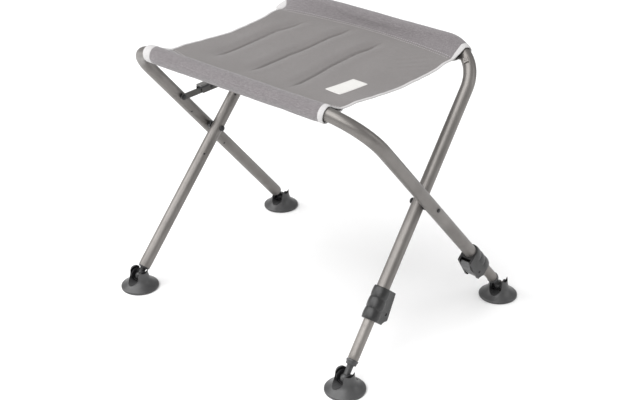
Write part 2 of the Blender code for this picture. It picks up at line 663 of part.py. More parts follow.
def bar_outline(y0, y1, half, n=8):
    """Round-ended bar outline in YZ."""
    pts = []
    for k in range(n + 1):
        a = math.pi / 2 + math.pi * k / n
        pts.append((y0 + half * math.cos(a), half * math.sin(a)))
    for k in range(n + 1):
        a = -math.pi / 2 + math.pi * k / n
        pts.append((y1 + half * math.cos(a), half * math.sin(a)))
    return pts


HOLE_P, HOLE_B = 0.0026, 0.0034
ma = Matrix.Translation((0, P_A.y, P_A.z))
link_a = prism("brace_link_a", bar_outline(0.0, BRACE_Y, 0.0057), 0, ('Y', 'Z'), *LINK_A_X)
boolean(link_a, tool(cyl_mesh("link_a_hole_1", HOLE_P, -0.26, -0.23, 'X', 16), ma))
boolean(link_a, tool(cyl_mesh("link_a_hole_2", HOLE_P, -0.26, -0.23, 'X', 16, (0, BRACE_Y, 0)), ma))
put(link_a, M_STEEL, axis_la, ma)

mb = Matrix.Translation((0, 0, P_A.z))
CH_TOP, CH_WEB, CH_LOW, TAIL = 0.0076, 0.0062, -0.0064, -0.0240
side_out = [(TAIL, CH_TOP), (TAIL, -0.0030), (TAIL + 0.0030, CH_LOW)]
side_out += [(BRACE_Y + 0.0070 * math.cos(a), 0.0070 * math.sin(a) * (CH_LOW / -0.0070) if math.sin(a) < 0 else CH_TOP * math.sin(a))
             for a in [(-90 + 15 * k) * math.pi / 180 for k in range(13)]]
link_b = prism("brace_link_b", side_out, 0, ('Y', 'Z'), CHAN_X[0], CHAN_X[3])
trough = box_mesh("link_b_trough", (CHAN_X[1], -0.04, -0.02), (CHAN_X[2], 0.08, CH_WEB))
boolean(link_b, tool(trough, mb))
boolean(link_b, tool(cyl_mesh("link_b_hole_1", HOLE_P, -0.26, -0.23, 'X', 16), mb))
boolean(link_b, tool(cyl_mesh("link_b_hole_2", HOLE_B, -0.26, -0.23, 'X', 18, (0, BRACE_Y, 0)), mb))
put(link_b, M_STEEL, axis_lb, mb)

mx = AXIS_ROT['X']
rivet_a = lathe("brace_rivet_a", [(0.0, -0.2404), (0.0030, -0.2405), (0.0045, -0.2411), (0.0045, -0.2417), (0.0022, -0.2417),
                                  (0.0022, -0.2443), (0.0050, -0.2443), (0.0050, BX_A + LEG_R + 0.0003),
                                  (0.0022, BX_A + LEG_R + 0.0003), (0.0022, BX_A + 0.006), (0.0, BX_A + 0.006)], 14)
put(rivet_a, M_BOLT, root_a, ma @ mx)
knee = lathe("brace_knee_rivet", [(0.0, -0.2391), (0.0024, -0.2392), (0.0032, -0.2395), (0.0032, -0.2399), (0.0022, -0.2399),
                                  (0.0022, -0.2461), (0.0032, -0.2461), (0.0032, -0.2466), (0.0024, -0.2469), (0.0, -0.2470)], 14)
put(knee, M_BOLT, axis_la, mb @ mx)
# The far rivet belongs to link B and stops short of the inner frame, where the pivot is left open.
mpb = Matrix.Translation((0, P_B.y, P_B.z))
rivet_b = lathe("brace_rivet_b", [(0.0, -0.2391), (0.0038, -0.2391), (0.0046, -0.2394), (0.0046, -0.2399), (0.0022, -0.2399),
                                  (0.0022, -0.2461), (0.0046, -0.2461), (0.0046, -0.2466), (0.0030, -0.2472), (0.0, -0.2473)], 14)
put(rivet_b, M_BOLT, axis_lb, mpb @ mx)

# lock slide: an inverted channel over link B's tail, with a thumb tab on top
SL = (-0.0315, -0.0085)
slide = box_mesh("brace_lock_slide", (CHAN_X[0] - 0.0014, SL[0], 0.0040), (CHAN_X[3] + 0.0014, SL[1], CH_TOP + 0.0018))
bevel(slide, 0.0005, 2, 40)
boolean(slide, tool(box_mesh("slide_trough", (CHAN_X[0] - 0.0003, -0.05, -0.002), (CHAN_X[3] + 0.0003, 0.02, CH_TOP + 0.0003)), mb))
put(slide, M_STEEL, axis_lock, mb)
tab = box_mesh("brace_thumb_tab", (-0.2476, SL[0], CH_TOP + 0.0021), (-0.2356, SL[1] - 0.0055, CH_TOP + 0.0049))
bevel(tab, 0.0009, 3, 40)
put(tab, M_TAB, axis_lock, mb)

bpy.context.view_layer.update()
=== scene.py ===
# Looks of the folding camp stool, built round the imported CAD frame.
import bpy
import bmesh
import math
import numpy as np
from mathutils import Matrix, Vector


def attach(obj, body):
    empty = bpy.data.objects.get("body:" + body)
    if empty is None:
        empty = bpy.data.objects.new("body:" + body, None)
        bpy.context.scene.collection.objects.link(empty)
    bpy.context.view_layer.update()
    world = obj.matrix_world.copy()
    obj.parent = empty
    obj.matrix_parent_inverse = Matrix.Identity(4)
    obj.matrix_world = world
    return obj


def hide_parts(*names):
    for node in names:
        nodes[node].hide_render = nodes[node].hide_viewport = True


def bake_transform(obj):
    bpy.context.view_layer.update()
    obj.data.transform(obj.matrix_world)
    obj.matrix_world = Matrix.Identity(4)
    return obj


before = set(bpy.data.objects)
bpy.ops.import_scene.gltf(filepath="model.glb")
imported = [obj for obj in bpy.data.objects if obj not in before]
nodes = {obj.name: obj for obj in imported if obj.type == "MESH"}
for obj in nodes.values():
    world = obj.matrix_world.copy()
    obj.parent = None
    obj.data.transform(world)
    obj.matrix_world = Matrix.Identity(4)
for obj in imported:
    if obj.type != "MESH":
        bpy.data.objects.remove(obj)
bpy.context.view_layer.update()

# ------------------------------------------------------------------ dimensions shared with the CAD
LEG_R, WALL = 0.011, 0.0015
BAR_Y, BAR_Z, HUB_Y, HUB_Z = 0.1765, 0.4578, 0.1985, 0.0225
WA_TOP, WA_FOOT, WB_TOP, WB_FOOT = 0.2567, 0.2645, 0.2190, 0.2445
BEND_A, BEND_B = 0.0810, 0.0705
PIVOT_Z = HUB_Z + (BAR_Z - HUB_Z) * HUB_Y / (HUB_Y + BAR_Y)
LEG_L = math.hypot(HUB_Y + BAR_Y, BAR_Z - HUB_Z)
SY, CZ = (HUB_Y + BAR_Y) / LEG_L, (BAR_Z - HUB_Z) / LEG_L
END_AL, END_BL, COL_A, COL_B, COL_H = 0.0215, 0.0190, 0.084, 0.100, 0.056
TUBE_IN_COL, IN_R, IN_WALL, IN_TOP_A, IN_TOP_B = 0.036, 0.009, 0.0012, 0.2442, 0.2312
BRACE_Y = 0.066
BRACE_Z = HUB_Z + (BAR_Z - HUB_Z) * (HUB_Y + BRACE_Y) / (HUB_Y + BAR_Y)
BALL_R, NECK_R, SLOT_W, RIM_R = 0.008, 0.0048, 0.0105, 0.034
A, B = -1, 1

scene = bpy.context.scene
scene.view_settings.view_transform = 'Standard'
scene.view_settings.look = 'None'


# ------------------------------------------------------------------ materials
def new_mat(name):
    m = bpy.data.materials.new(name)
    m.use_nodes = True
    nt = m.node_tree
    return m, nt, nt.nodes["Principled BSDF"]


def n_add(nt, kind, **props):
    n = nt.nodes.new(kind)
    for k, v in props.items():
        if k.startswith("i_"):
            key = k[2:].replace("_", " ")
            n.inputs[key].default_value = v
        else:
            setattr(n, k, v)
    return n


def obj_coord(nt, scale):
    tc = nt.nodes.new("ShaderNodeTexCoord")
    mp = nt.nodes.new("ShaderNodeMapping")
    mp.inputs["Scale"].default_value = scale
    nt.links.new(tc.outputs["Object"], mp.inputs["Vector"])
    return mp.outputs["Vector"]


def noise(nt, scale, stretch=(1, 1, 1), detail=3.0, rough=0.55, seed=0.0):
    n = nt.nodes.new("ShaderNodeTexNoise")
    n.inputs["Scale"].default_value = scale
    n.inputs["Detail"].default_value = detail
    n.inputs["Roughness"].default_value = rough
    mp = obj_coord(nt, stretch)
    if seed:
        mp.node.inputs["Location"].default_value = (seed, seed * 1.7, -seed)
    nt.links.new(mp, n.inputs["Vector"])
    return n.outputs["Fac"]


def ramp(nt, fac, stops):
    r = nt.nodes.new("ShaderNodeValToRGB")
    while len(r.color_ramp.elements) < len(stops):
        r.color_ramp.elements.new(0.5)
    for e, (p, c) in zip(r.color_ramp.elements, stops):
        e.position = p
        e.color = (*c, 1.0)
    nt.links.new(fac, r.inputs["Fac"])
    return r.outputs["Color"]


def mix(nt, fac, a, b, kind='MIX'):
    m = nt.nodes.new("ShaderNodeMix")
    m.data_type = 'RGBA'
    m.blend_type = kind
    for sock, v in ((m.inputs[0], fac), (m.inputs[6], a), (m.inputs[7], b)):
        if hasattr(v, "is_output"):
            nt.links.new(v, sock)
        elif isinstance(v, (int, float)):
            sock.default_value = v
        else:
            sock.default_value = (*v, 1.0)
    return m.outputs[2]


def rng(nt, fac, lo, hi, f0=0.0, f1=1.0):
    m = nt.nodes.new("ShaderNodeMapRange")
    m.inputs["From Min"].default_value = f0
    m.inputs["From Max"].default_value = f1
    m.inputs["To Min"].default_value = lo
    m.inputs["To Max"].default_value = hi
    nt.links.new(fac, m.inputs["Value"])
    return m.outputs["Result"]


def bump(nt, height, strength, dist, normal=None):
    b = nt.nodes.new("ShaderNodeBump")
    b.inputs["Strength"].default_value = strength
    b.inputs["Distance"].default_value = dist
    nt.links.new(height, b.inputs["Height"])
    if normal is not None:
        nt.links.new(normal, b.inputs["Normal"])
    return b.outputs["Normal"]


def wave(nt, scale, direction, distort=0.0):
    w = nt.nodes.new("ShaderNodeTexWave")
    w.wave_type = 'BANDS'
    w.bands_direction = direction
    w.inputs["Scale"].default_value = scale
    w.inputs["Distortion"].default_value = distort
    nt.links.new(obj_coord(nt, (1, 1, 1)), w.inputs["Vector"])
    return w.outputs["Fac"]


def math_node(nt, op, a, b):
    m = nt.nodes.new("ShaderNodeMath")
    m.operation = op
    for s, v in zip(m.inputs, (a, b)):
        if hasattr(v, "is_output"):
            nt.links.new(v, s)
        else:
            s.default_value = v
    return m.outputs[0]


def soft_edge(nt, radius):
    b = nt.nodes.new("ShaderNodeBevel")
    b.samples = 4
    b.inputs["Radius"].default_value = radius
    return b.outputs["Normal"]


def metal(name, light, dark, rough, metallic, grain=0.05, scuff=True):
    """Satin coated tube: fine coat grain, slow tone drift, faint rubbed marks."""
    m, nt, p = new_mat(name)
    slow = noise(nt, 22.0, (1, 1, 1), 2.0, 0.5, 1.3)
    fine = noise(nt, 1500.0, (1, 1, 1), 2.0, 0.6, 2.1)
    col = mix(nt, rng(nt, slow, 0.0, 1.0, 0.3, 0.7), dark, light)
    col = mix(nt, rng(nt, fine, 0.0, 0.12, 0.4, 0.7), col, tuple(min(1, c * 1.35) for c in light))
    if scuff:
        marks = noise(nt, 60.0, (0.6, 3.5, 0.6), 6.0, 0.7, 4.4)
        col = mix(nt, rng(nt, marks, 0.0, 0.35, 0.66, 0.80), col, tuple(c * 0.62 for c in dark))
        p_r = rng(nt, marks, rough, rough + 0.14, 0.55, 0.80)
    else:
        p_r = rng(nt, fine, rough - 0.03, rough + 0.06)
    nt.links.new(col, p.inputs["Base Color"])
    nt.links.new(p_r, p.inputs["Roughness"])
    p.inputs["Metallic"].default_value = metallic
    nt.links.new(bump(nt, fine, grain, 0.0002), p.inputs["Normal"])
    return m


def plastic(name, base, rough, edge=0.0005, grain=0.25, var=0.18):
    """Moulded plastic: fine spark texture, faint flow tone, convex edges painted lighter by pointiness."""
    m, nt, p = new_mat(name)
    slow = noise(nt, 45.0, (1, 1, 1.6), 4.0, 0.55, 3.0)
    fine = noise(nt, 2300.0, (1, 1, 1), 2.0, 0.6, 5.0)
    col = mix(nt, rng(nt, slow, 0.0, 1.0, 0.3, 0.7), tuple(c * (1 - var) for c in base), tuple(c * (1 + var) for c in base))
    geo = nt.nodes.new("ShaderNodeNewGeometry")
    # convex edges painted lighter, read from the mesh's pointiness
    edge_lighten = rng(nt, geo.outputs["Pointiness"], 0.0, 0.45, 0.52, 0.62)
    col = mix(nt, edge_lighten, col, tuple(c * 1.7 for c in base))
    nt.links.new(col, p.inputs["Base Color"])
    nt.links.new(rng(nt, fine, rough - 0.05, rough + 0.08), p.inputs["Roughness"])
    nt.links.new(bump(nt, fine, grain, 0.00012, soft_edge(nt, edge) if edge else None), p.inputs["Normal"])
    return m


def fabric(name, light, mid, dark, heather, pitch=0.0011, rough=0.88, sheen=0.25, weave=0.5):
    """Woven polyester: thread bands both ways, melange streaks along the threads, painted shade in the hollows between
    threads.
    """
    m, nt, p = new_mat(name)
    sc = 0.31416 / pitch
    wx, wy = wave(nt, sc, 'X', 0.6), wave(nt, sc, 'Y', 0.6)
    sx = noise(nt, 1.0, (160, 900, 900), 3.0, 0.6, 0.7)
    sy = noise(nt, 1.0, (900, 160, 900), 3.0, 0.6, 2.9)
    slow = noise(nt, 14.0, (1, 1, 1), 3.0, 0.5, 6.0)
    streak = math_node(nt, 'ADD', rng(nt, sx, 0.0, 0.5, 0.35, 0.65), rng(nt, sy, 0.0, 0.5, 0.35, 0.65))
    a = ramp(nt, streak, [(0.0, dark), (0.5, mid), (1.0, light)])
    col = mix(nt, heather, mid, a)
    col = mix(nt, rng(nt, slow, 0.0, 0.22, 0.3, 0.7), col, tuple(c * 0.80 for c in mid))
    cross = math_node(nt, 'MULTIPLY', wx, wy)
    # painted shade: the hollows between the threads (low weave relief) are darkened towards the dark yarn tone
    col = mix(nt, rng(nt, cross, 0.16, 0.0), col, tuple(c * 0.6 for c in dark))
    nt.links.new(col, p.inputs["Base Color"])
    p.inputs["Roughness"].default_value = rough
    p.inputs["Sheen Weight"].default_value = sheen
    p.inputs["Sheen Roughness"].default_value = 0.5
    p.inputs["Specular IOR Level"].default_value = 0.25
    h = math_node(nt, 'ADD', cross, rng(nt, sx, 0.0, 0.8))
    nt.links.new(bump(nt, h, weave, 0.0004), p.inputs["Normal"])
    return m


M_TUBE = metal("tube_finish", (0.212, 0.200, 0.190), (0.160, 0.150, 0.142), 0.42, 0.72)
M_TUBE_IN = metal("inner_tube_finish", (0.250, 0.235, 0.222), (0.200, 0.187, 0.176), 0.46, 0.72)
M_PLASTIC = plastic("foot_plastic_finish", (0.048, 0.048, 0.049), 0.38)
M_COLLAR = plastic("collar_plastic_finish", (0.014, 0.014, 0.0144), 0.36)
# painted shadow: near-black finish that the foot slot and the collar bore, channel and pin-hole cutters leave on the
# faces they cut
M_SLOT_SHADOW = plastic("slot_shadow_finish", (0.006, 0.006, 0.0062), 0.70)
next(n for n in M_SLOT_SHADOW.node_tree.nodes if n.type == 'BSDF_PRINCIPLED').inputs["Specular IOR Level"].default_value = 0.15
M_LINER = plastic("liner_plastic_finish", (0.014, 0.014, 0.015), 0.34)
M_LEVER = plastic("lever_plastic_finish", (0.080, 0.080, 0.082), 0.40)
M_STEEL = metal("brace_steel_finish", (0.090, 0.087, 0.084), (0.058, 0.056, 0.054), 0.42, 0.75)
M_BOLT = metal("bolt_steel_finish", (0.045, 0.045, 0.046), (0.025, 0.025, 0.026), 0.36, 0.7, scuff=False)
M_TAB = plastic("tab_plastic_finish", (0.11, 0.108, 0.105), 0.5)
M_SCREW = metal("screw_finish", (0.20, 0.195, 0.19), (0.15, 0.146, 0.142), 0.45, 0.8, scuff=False)
M_SLEEVE = fabric("sleeve_cloth", (0.268, 0.249, 0.255), (0.186, 0.172, 0.177), (0.120, 0.110, 0.114), 0.9, 0.0011, 0.9, 0.3, 0.55)
M_SEAT = fabric("seat_cloth", (0.210, 0.196, 0.192), (0.178, 0.166, 0.163), (0.146, 0.136, 0.133), 0.55, 0.0008, 0.86, 0.2, 0.3)
M_TAPE = fabric("binding_tape", (0.61, 0.60, 0.60), (0.53, 0.52, 0.52), (0.43, 0.42, 0.42), 0.4, 0.0014, 0.85, 0.2, 0.6)
M_THREAD = fabric("stitch_thread", (0.62, 0.60, 0.60), (0.52, 0.50, 0.50), (0.42, 0.40, 0.40), 0.5, 0.0006, 0.7, 0.3, 0.3)
M_LABEL = fabric("label_satin", (0.74, 0.73, 0.71), (0.68, 0.67, 0.65), (0.60, 0.59, 0.57), 0.35, 0.0006, 0.6, 0.1, 0.2)


# ------------------------------------------------------------------ mesh helpers
def make(name, verts, faces, mats, face_mat=None, sharp=35):
    me = bpy.data.meshes.new(name)
    me.from_pydata([tuple(map(float, v)) for v in verts], [], faces)
    for m in (mats if isinstance(mats, (list, tuple)) else [mats]):
        me.materials.append(m)
    if face_mat is not None:
        me.polygons.foreach_set("material_index", np.asarray(face_mat, np.int32))
    me.shade_smooth()
    if sharp:
        me.set_sharp_from_angle(angle=math.radians(sharp))
    me.update()
    o = bpy.data.objects.new(name, me)
    scene.collection.objects.link(o)
    return o


def apply_mods(o, sharp=35):
    bpy.context.view_layer.update()
    dg = bpy.context.evaluated_depsgraph_get()
    me = bpy.data.meshes.new_from_object(o.evaluated_get(dg))
    o.modifiers.clear()
    old = o.data
    o.data = me
    bpy.data.meshes.remove(old)
    o.data.shade_smooth()
    if sharp:
        o.data.set_sharp_from_angle(angle=math.radians(sharp))
    return o


def cut(o, cutters, op='DIFFERENCE'):
    """Boolean o with a list of temporary objects, applied."""
    for c in cutters:
        m = o.modifiers.new("b", 'BOOLEAN')
        m.operation = op
        m.solver = 'EXACT'
        m.material_mode = 'TRANSFER'
        m.object = c
    apply_mods(o)
    for c in cutters:
        me = c.data
        bpy.data.objects.remove(c, do_unlink=True)
        bpy.data.meshes.remove(me)
    return o


def turned(name, pts, steps, mats, m=None, closed=False, sharp=35):
    """Lathe of (radius, height) points about local Z."""
    verts, rings = [], []
    for r, z in pts:
        if r < 1e-7:
            rings.append([len(verts)])
            verts.append((0, 0, z))
        else:
            rings.append(list(range(len(verts), len(verts) + steps)))
            verts += [(r * math.cos(math.tau * k / steps), r * math.sin(math.tau * k / steps), z) for k in range(steps)]
    faces = []
    pairs = list(zip(rings, rings[1:])) + ([(rings[-1], rings[0])] if closed else [])
    for a, b in pairs:
        for k in range(steps):
            k2 = (k + 1) % steps
            if len(a) == 1 and len(b) == 1:
                continue
            if len(a) == 1:
                faces.append((a[0], b[k], b[k2]))
            elif len(b) == 1:
                faces.append((a[k2], a[k], b[0]))
            else:
                faces.append((a[k2], a[k], b[k], b[k2]))
    o = make(name, verts, faces, mats, None, 0)
    bm = bmesh.new()
    bm.from_mesh(o.data)
    bmesh.ops.recalc_face_normals(bm, faces=bm.faces)
    bm.to_mesh(o.data)
    bm.free()
    o.data.shade_smooth()
    o.data.set_sharp_from_angle(angle=math.radians(sharp))
    if m is not None:
        o.data.transform(m)
    return o


ROT = {'Z': Matrix.Identity(4), 'X': Matrix.Rotation(math.radians(90), 4, 'Y'),
       'Y': Matrix.Rotation(math.radians(-90), 4, 'X')}


def rod(name, r, lo, hi, axis='Z', sides=48, centre=(0, 0, 0), m=None, mat=None):
    mm = Matrix.Translation(centre) @ ROT[axis]
    return turned(name, [(0, hi), (r, hi), (r, lo), (0, lo)], sides, mat or M_BOLT, (m @ mm) if m is not None else mm)


def block(name, lo, hi, m=None, mat=None, bev=0.0, seg=3):
    bm = bmesh.new()
    bmesh.ops.create_cube(bm, size=1.0)
    for v in bm.verts:
        v.co = Vector([lo[i] + (v.co[i] + 0.5) * (hi[i] - lo[i]) for i in range(3)])
    if bev:
        bmesh.ops.bevel(bm, geom=list(bm.edges), offset=bev, segments=seg, profile=0.5, affect='EDGES')
    me = bpy.data.meshes.new(name)
    bm.to_mesh(me)
    bm.free()
    me.materials.append(mat or M_BOLT)
    me.shade_smooth()
    me.set_sharp_from_angle(angle=math.radians(35))
    o = bpy.data.objects.new(name, me)
    scene.collection.objects.link(o)
    if m is not None:
        me.transform(m)
    return o


def prism(name, outline, lo, hi, m=None, mat=None):
    """YZ outline pushed along X."""
    n = len(outline)
    verts = [(lo, y, z) for y, z in outline] + [(hi, y, z) for y, z in outline]
    faces = [(i, (i + 1) % n, n + (i + 1) % n, n + i) for i in range(n)]
    faces += [tuple(range(n))[::-1], tuple(range(n, 2 * n))]
    o = make(name, verts, faces, mat or M_COLLAR, None, 0)
    bm = bmesh.new()
    bm.from_mesh(o.data)
    bmesh.ops.recalc_face_normals(bm, faces=bm.faces)
    bm.to_mesh(o.data)
    bm.free()
    o.data.set_sharp_from_angle(angle=math.radians(35))
    if m is not None:
        o.data.transform(m)
    return o


def half_width(top, foot, s):
    return foot + (top - foot) * s / LEG_L


def plane_matrix(side):
    down = Vector((0, -side * SY, -CZ))
    x = Vector((1, 0, 0))
    m = Matrix((x, down, x.cross(down))).transposed().to_4x4()
    m.translation = (0, side * BAR_Y, BAR_Z)
    return m


def leg_matrix(side, hand):
    top, foot = (WA_TOP, WA_FOOT) if side < 0 else (WB_TOP, WB_FOOT)
    ball = Vector((hand * foot, -side * HUB_Y, HUB_Z))
    bar = Vector((hand * top, side * BAR_Y, BAR_Z))
    up = (bar - ball).normalized()
    under = Vector((0, side * CZ, -SY))
    x = under.cross(up).normalized()
    m = Matrix((x, under, up)).transposed().to_4x4()
    m.translation = ball
    return m


def fillet(pts, radius, n):
    out = [Vector(pts[0])]
    for i in range(1, len(pts) - 1):
        p0, p, p1 = Vector(pts[i - 1]), Vector(pts[i]), Vector(pts[i + 1])
        d0, d1 = (p0 - p).normalized(), (p1 - p).normalized()
        ang = d0.angle(d1)
        t = radius / math.tan(ang / 2)
        c = p + (d0 + d1).normalized() * radius / math.sin(ang / 2)
        s, e = p + d0 * t - c, p + d1 * t - c
        sweep = s.angle(e)
        nrm = s.cross(e).normalized()
        for k in range(n + 1):
            out.append(c + Matrix.Rotation(sweep * k / n, 3, nrm) @ s)
    out.append(Vector(pts[-1]))
    return out


def resample(path, step):
    """Adds points on long straights."""
    out = [path[0]]
    for a, b in zip(path, path[1:]):
        n = max(1, int(round((b - a).length / step)))
        out += [a.lerp(b, k / n) for k in range(1, n + 1)]
    return out


def u_path(top, foot, radius, s_left, s_right, n=40, step=0.010):
    def x(s):
        return half_width(top, foot, s)
    pts = [Vector((-x(s_left), LEG_L - s_left, 0)), Vector((-top, 0, 0)),
           Vector((top, 0, 0)), Vector((x(s_right), LEG_L - s_right, 0))]
    return resample(fillet(pts, radius, n), step)


PA, PB = plane_matrix(A), plane_matrix(B)
path_a = u_path(WA_TOP, WA_FOOT, BEND_A, END_AL, COL_A + TUBE_IN_COL)
path_b = u_path(WB_TOP, WB_FOOT, BEND_B, END_BL, COL_B + TUBE_IN_COL)


def pipe(name, path, pm, r, wall, mat, sides=48):
    """Hollow pipe along a planar path (in the XY plane of pm)."""
    P = np.array([list(p) for p in path])
    T = np.gradient(P, axis=0)
    T /= np.linalg.norm(T, axis=1)[:, None]
    N = np.array([0.0, 0.0, 1.0])
    M = np.cross(T, N)
    th = np.arange(sides) * math.tau / sides
    ring = lambda rad: (P[:, None, :] + rad * (np.cos(th)[None, :, None] * M[:, None, :] + np.sin(th)[None, :, None] * N))
    outer, inner = ring(r), ring(r - wall)
    n = len(P)
    ch = 0.0004
    # slightly rounded rims
    for end, sgn in ((0, -1), (n - 1, 1)):
        outer[end] = P[end] + (outer[end] - P[end]) * (1 - 0.0003 / r)
    verts = np.concatenate([outer.reshape(-1, 3), inner.reshape(-1, 3)])
    o_id = lambda i, k: i * sides + k % sides
    i_id = lambda i, k: n * sides + i * sides + k % sides
    faces = []
    for i in range(n - 1):
        for k in range(sides):
            faces.append((o_id(i, k), o_id(i, k + 1), o_id(i + 1, k + 1), o_id(i + 1, k)))
            faces.append((i_id(i, k), i_id(i + 1, k), i_id(i + 1, k + 1), i_id(i, k + 1)))
    for k in range(sides):
        faces.append((o_id(0, k), i_id(0, k), i_id(0, k + 1), o_id(0, k + 1)))
        faces.append((o_id(n - 1, k), o_id(n - 1, k + 1), i_id(n - 1, k + 1), i_id(n - 1, k)))
    o = make(name, verts, faces, mat, None, 0)
    bm = bmesh.new()
    bm.from_mesh(o.data)
    bmesh.ops.recalc_face_normals(bm, faces=bm.faces)
    bm.to_mesh(o.data)
    bm.free()
    o.data.transform(pm)
    o.data.set_sharp_from_angle(angle=math.radians(35))
    return o


# ------------------------------------------------------------------ frame tubes
PX_A = half_width(WA_TOP, WA_FOOT, HUB_Y / SY)
PX_B = half_width(WB_TOP, WB_FOOT, HUB_Y / SY)
S_BR = (HUB_Y + BRACE_Y) / SY
BX_A = -half_width(WA_TOP, WA_FOOT, S_BR)
BX_B = -half_width(WB_TOP, WB_FOOT, S_BR)

tube_a = pipe("frame_tube_outer", path_a, PA, LEG_R, WALL, M_TUBE)
tube_b = pipe("frame_tube_inner", path_b, PB, LEG_R, WALL, M_TUBE)
for tube, px, side, stations, brace in ((tube_a, PX_A, A, (0.361, 0.241), ((BX_A + 0.004, BX_A + 0.0145), -BRACE_Y)),
                                        (tube_b, PX_B, B, (0.371, 0.249), ((BX_B - 0.0145, BX_B - 0.004), BRACE_Y))):
    cutters = []
    for hand in (-1, 1):
        lo, hi = sorted((hand * (px - 0.02), hand * (px + 0.02)))
        cutters.append(rod("c", 0.00345, lo, hi, 'X', 24, (0, 0, PIVOT_Z)))
    cutters.append(rod("c", 0.0027, brace[0][0], brace[0][1], 'X', 20, (0, brace[1], BRACE_Z)))
    lm = leg_matrix(side, -1)
    for s in stations:
        ang = math.radians(-38)
        dx = -math.cos(ang) * (1 if side < 0 else -1)
        dy = math.sin(ang) * (1 if side > 0 else -1)
        off = LEG_R + 0.0030 * 0.72
        c = lm @ Vector((dx * off, dy * off, s))
        n = 10
        prof = [(0.0030 * math.sin(math.pi * k / n), 0.0030 * math.cos(math.pi * k / n)) for k in range(n + 1)]
        prof[0], prof[-1] = (0, 0.003), (0, -0.003)
        cutters.append(turned("c", prof, 20, M_BOLT, Matrix.Translation(c)))
    cut(tube, cutters)
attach(tube_a, "frame_a"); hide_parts("outer_frame_tube")
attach(tube_b, "frame_b"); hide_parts("inner_frame_tube")


# ------------------------------------------------------------------ feet
def stem_profile(ball_r, neck_r, flange_lo, flange_hi, flange_r, plug_r, plug_hi):
    pts = [(0.0, plug_hi), (plug_r - 0.0006, plug_hi), (plug_r, plug_hi - 0.0008), (plug_r, flange_hi)]
    if flange_r > plug_r:
        f = flange_r
        pts += [(f - 0.0005, flange_hi), (f - 0.0001, flange_hi - 0.0004), (f, flange_hi - 0.0010),
                (f, flange_lo + 0.0058), (f - 0.0002, flange_lo + 0.0052), (f - 0.0009, flange_lo + 0.0049),
                (f - 0.0010, flange_lo + 0.0044), (f - 0.0010, flange_lo + 0.0014), (f - 0.0014, flange_lo + 0.0004),
                (f - 0.0024, flange_lo)]
    else:
        pts += [(flange_r, flange_lo + 0.0006), (flange_r - 0.0006, flange_lo)]
    pts += [(neck_r + 0.0010, flange_lo), (neck_r + 0.0003, flange_lo - 0.0005), (neck_r, flange_lo - 0.0014)]
    a0 = math.asin(neck_r / ball_r)
    n = 16
    for i in range(n + 1):
        a = a0 + (math.pi - a0) * i / n
        pts.append((ball_r * math.sin(a) if i < n else 0.0, ball_r * math.cos(a)))
    return pts


def cap_profile(ball_r, neck_r, end):
    """Ball stud whose cap closes the open end of the tube."""
    pts = [(0.0, end + 0.019), (0.0084, end + 0.019), (0.0090, end + 0.0182), (0.0090, end - 0.0002), (0.0098, end - 0.0002),
           (0.0100, end - 0.0005), (0.0100, end - 0.0020), (0.0095, end - 0.0028), (neck_r + 0.0014, end - 0.0034),
           (neck_r + 0.0004, end - 0.0042), (neck_r, end - 0.0054)]
    a0 = math.asin(neck_r / ball_r)
    n = 16
    for i in range(n + 1):
        a = a0 + (math.pi - a0) * i / n
        pts.append((ball_r * math.sin(a) if i < n else 0.0, ball_r * math.cos(a)))
    return pts


def arch_cutter(r, x0, x1, m):
    """what lies outside a round arch of radius r above the ball centre, from x0 to x1"""
    pts = [(0.03, 0.0), (0.03, 0.03), (-0.03, 0.03), (-0.03, 0.0)]
    pts += [(-r * math.cos(math.pi * k / 48), r * math.sin(math.pi * k / 48)) for k in range(49)]
    bm = bmesh.new()
    lo = [bm.verts.new(m @ Vector((x0, y, z))) for y, z in pts]
    hi = [bm.verts.new(m @ Vector((x1, y, z))) for y, z in pts]
    bm.faces.new(lo); bm.faces.new(hi[::-1])
    for i in range(len(pts)):
        j = (i + 1) % len(pts)
        bm.faces.new((lo[i], hi[i], hi[j], lo[j]))
    bmesh.ops.recalc_face_normals(bm, faces=bm.faces)
    me = bpy.data.meshes.new("c")
    bm.to_mesh(me); bm.free()
    me.materials.append(M_PLASTIC)
    ob = bpy.data.objects.new("c", me)
    bpy.context.scene.collection.objects.link(ob)
    return ob


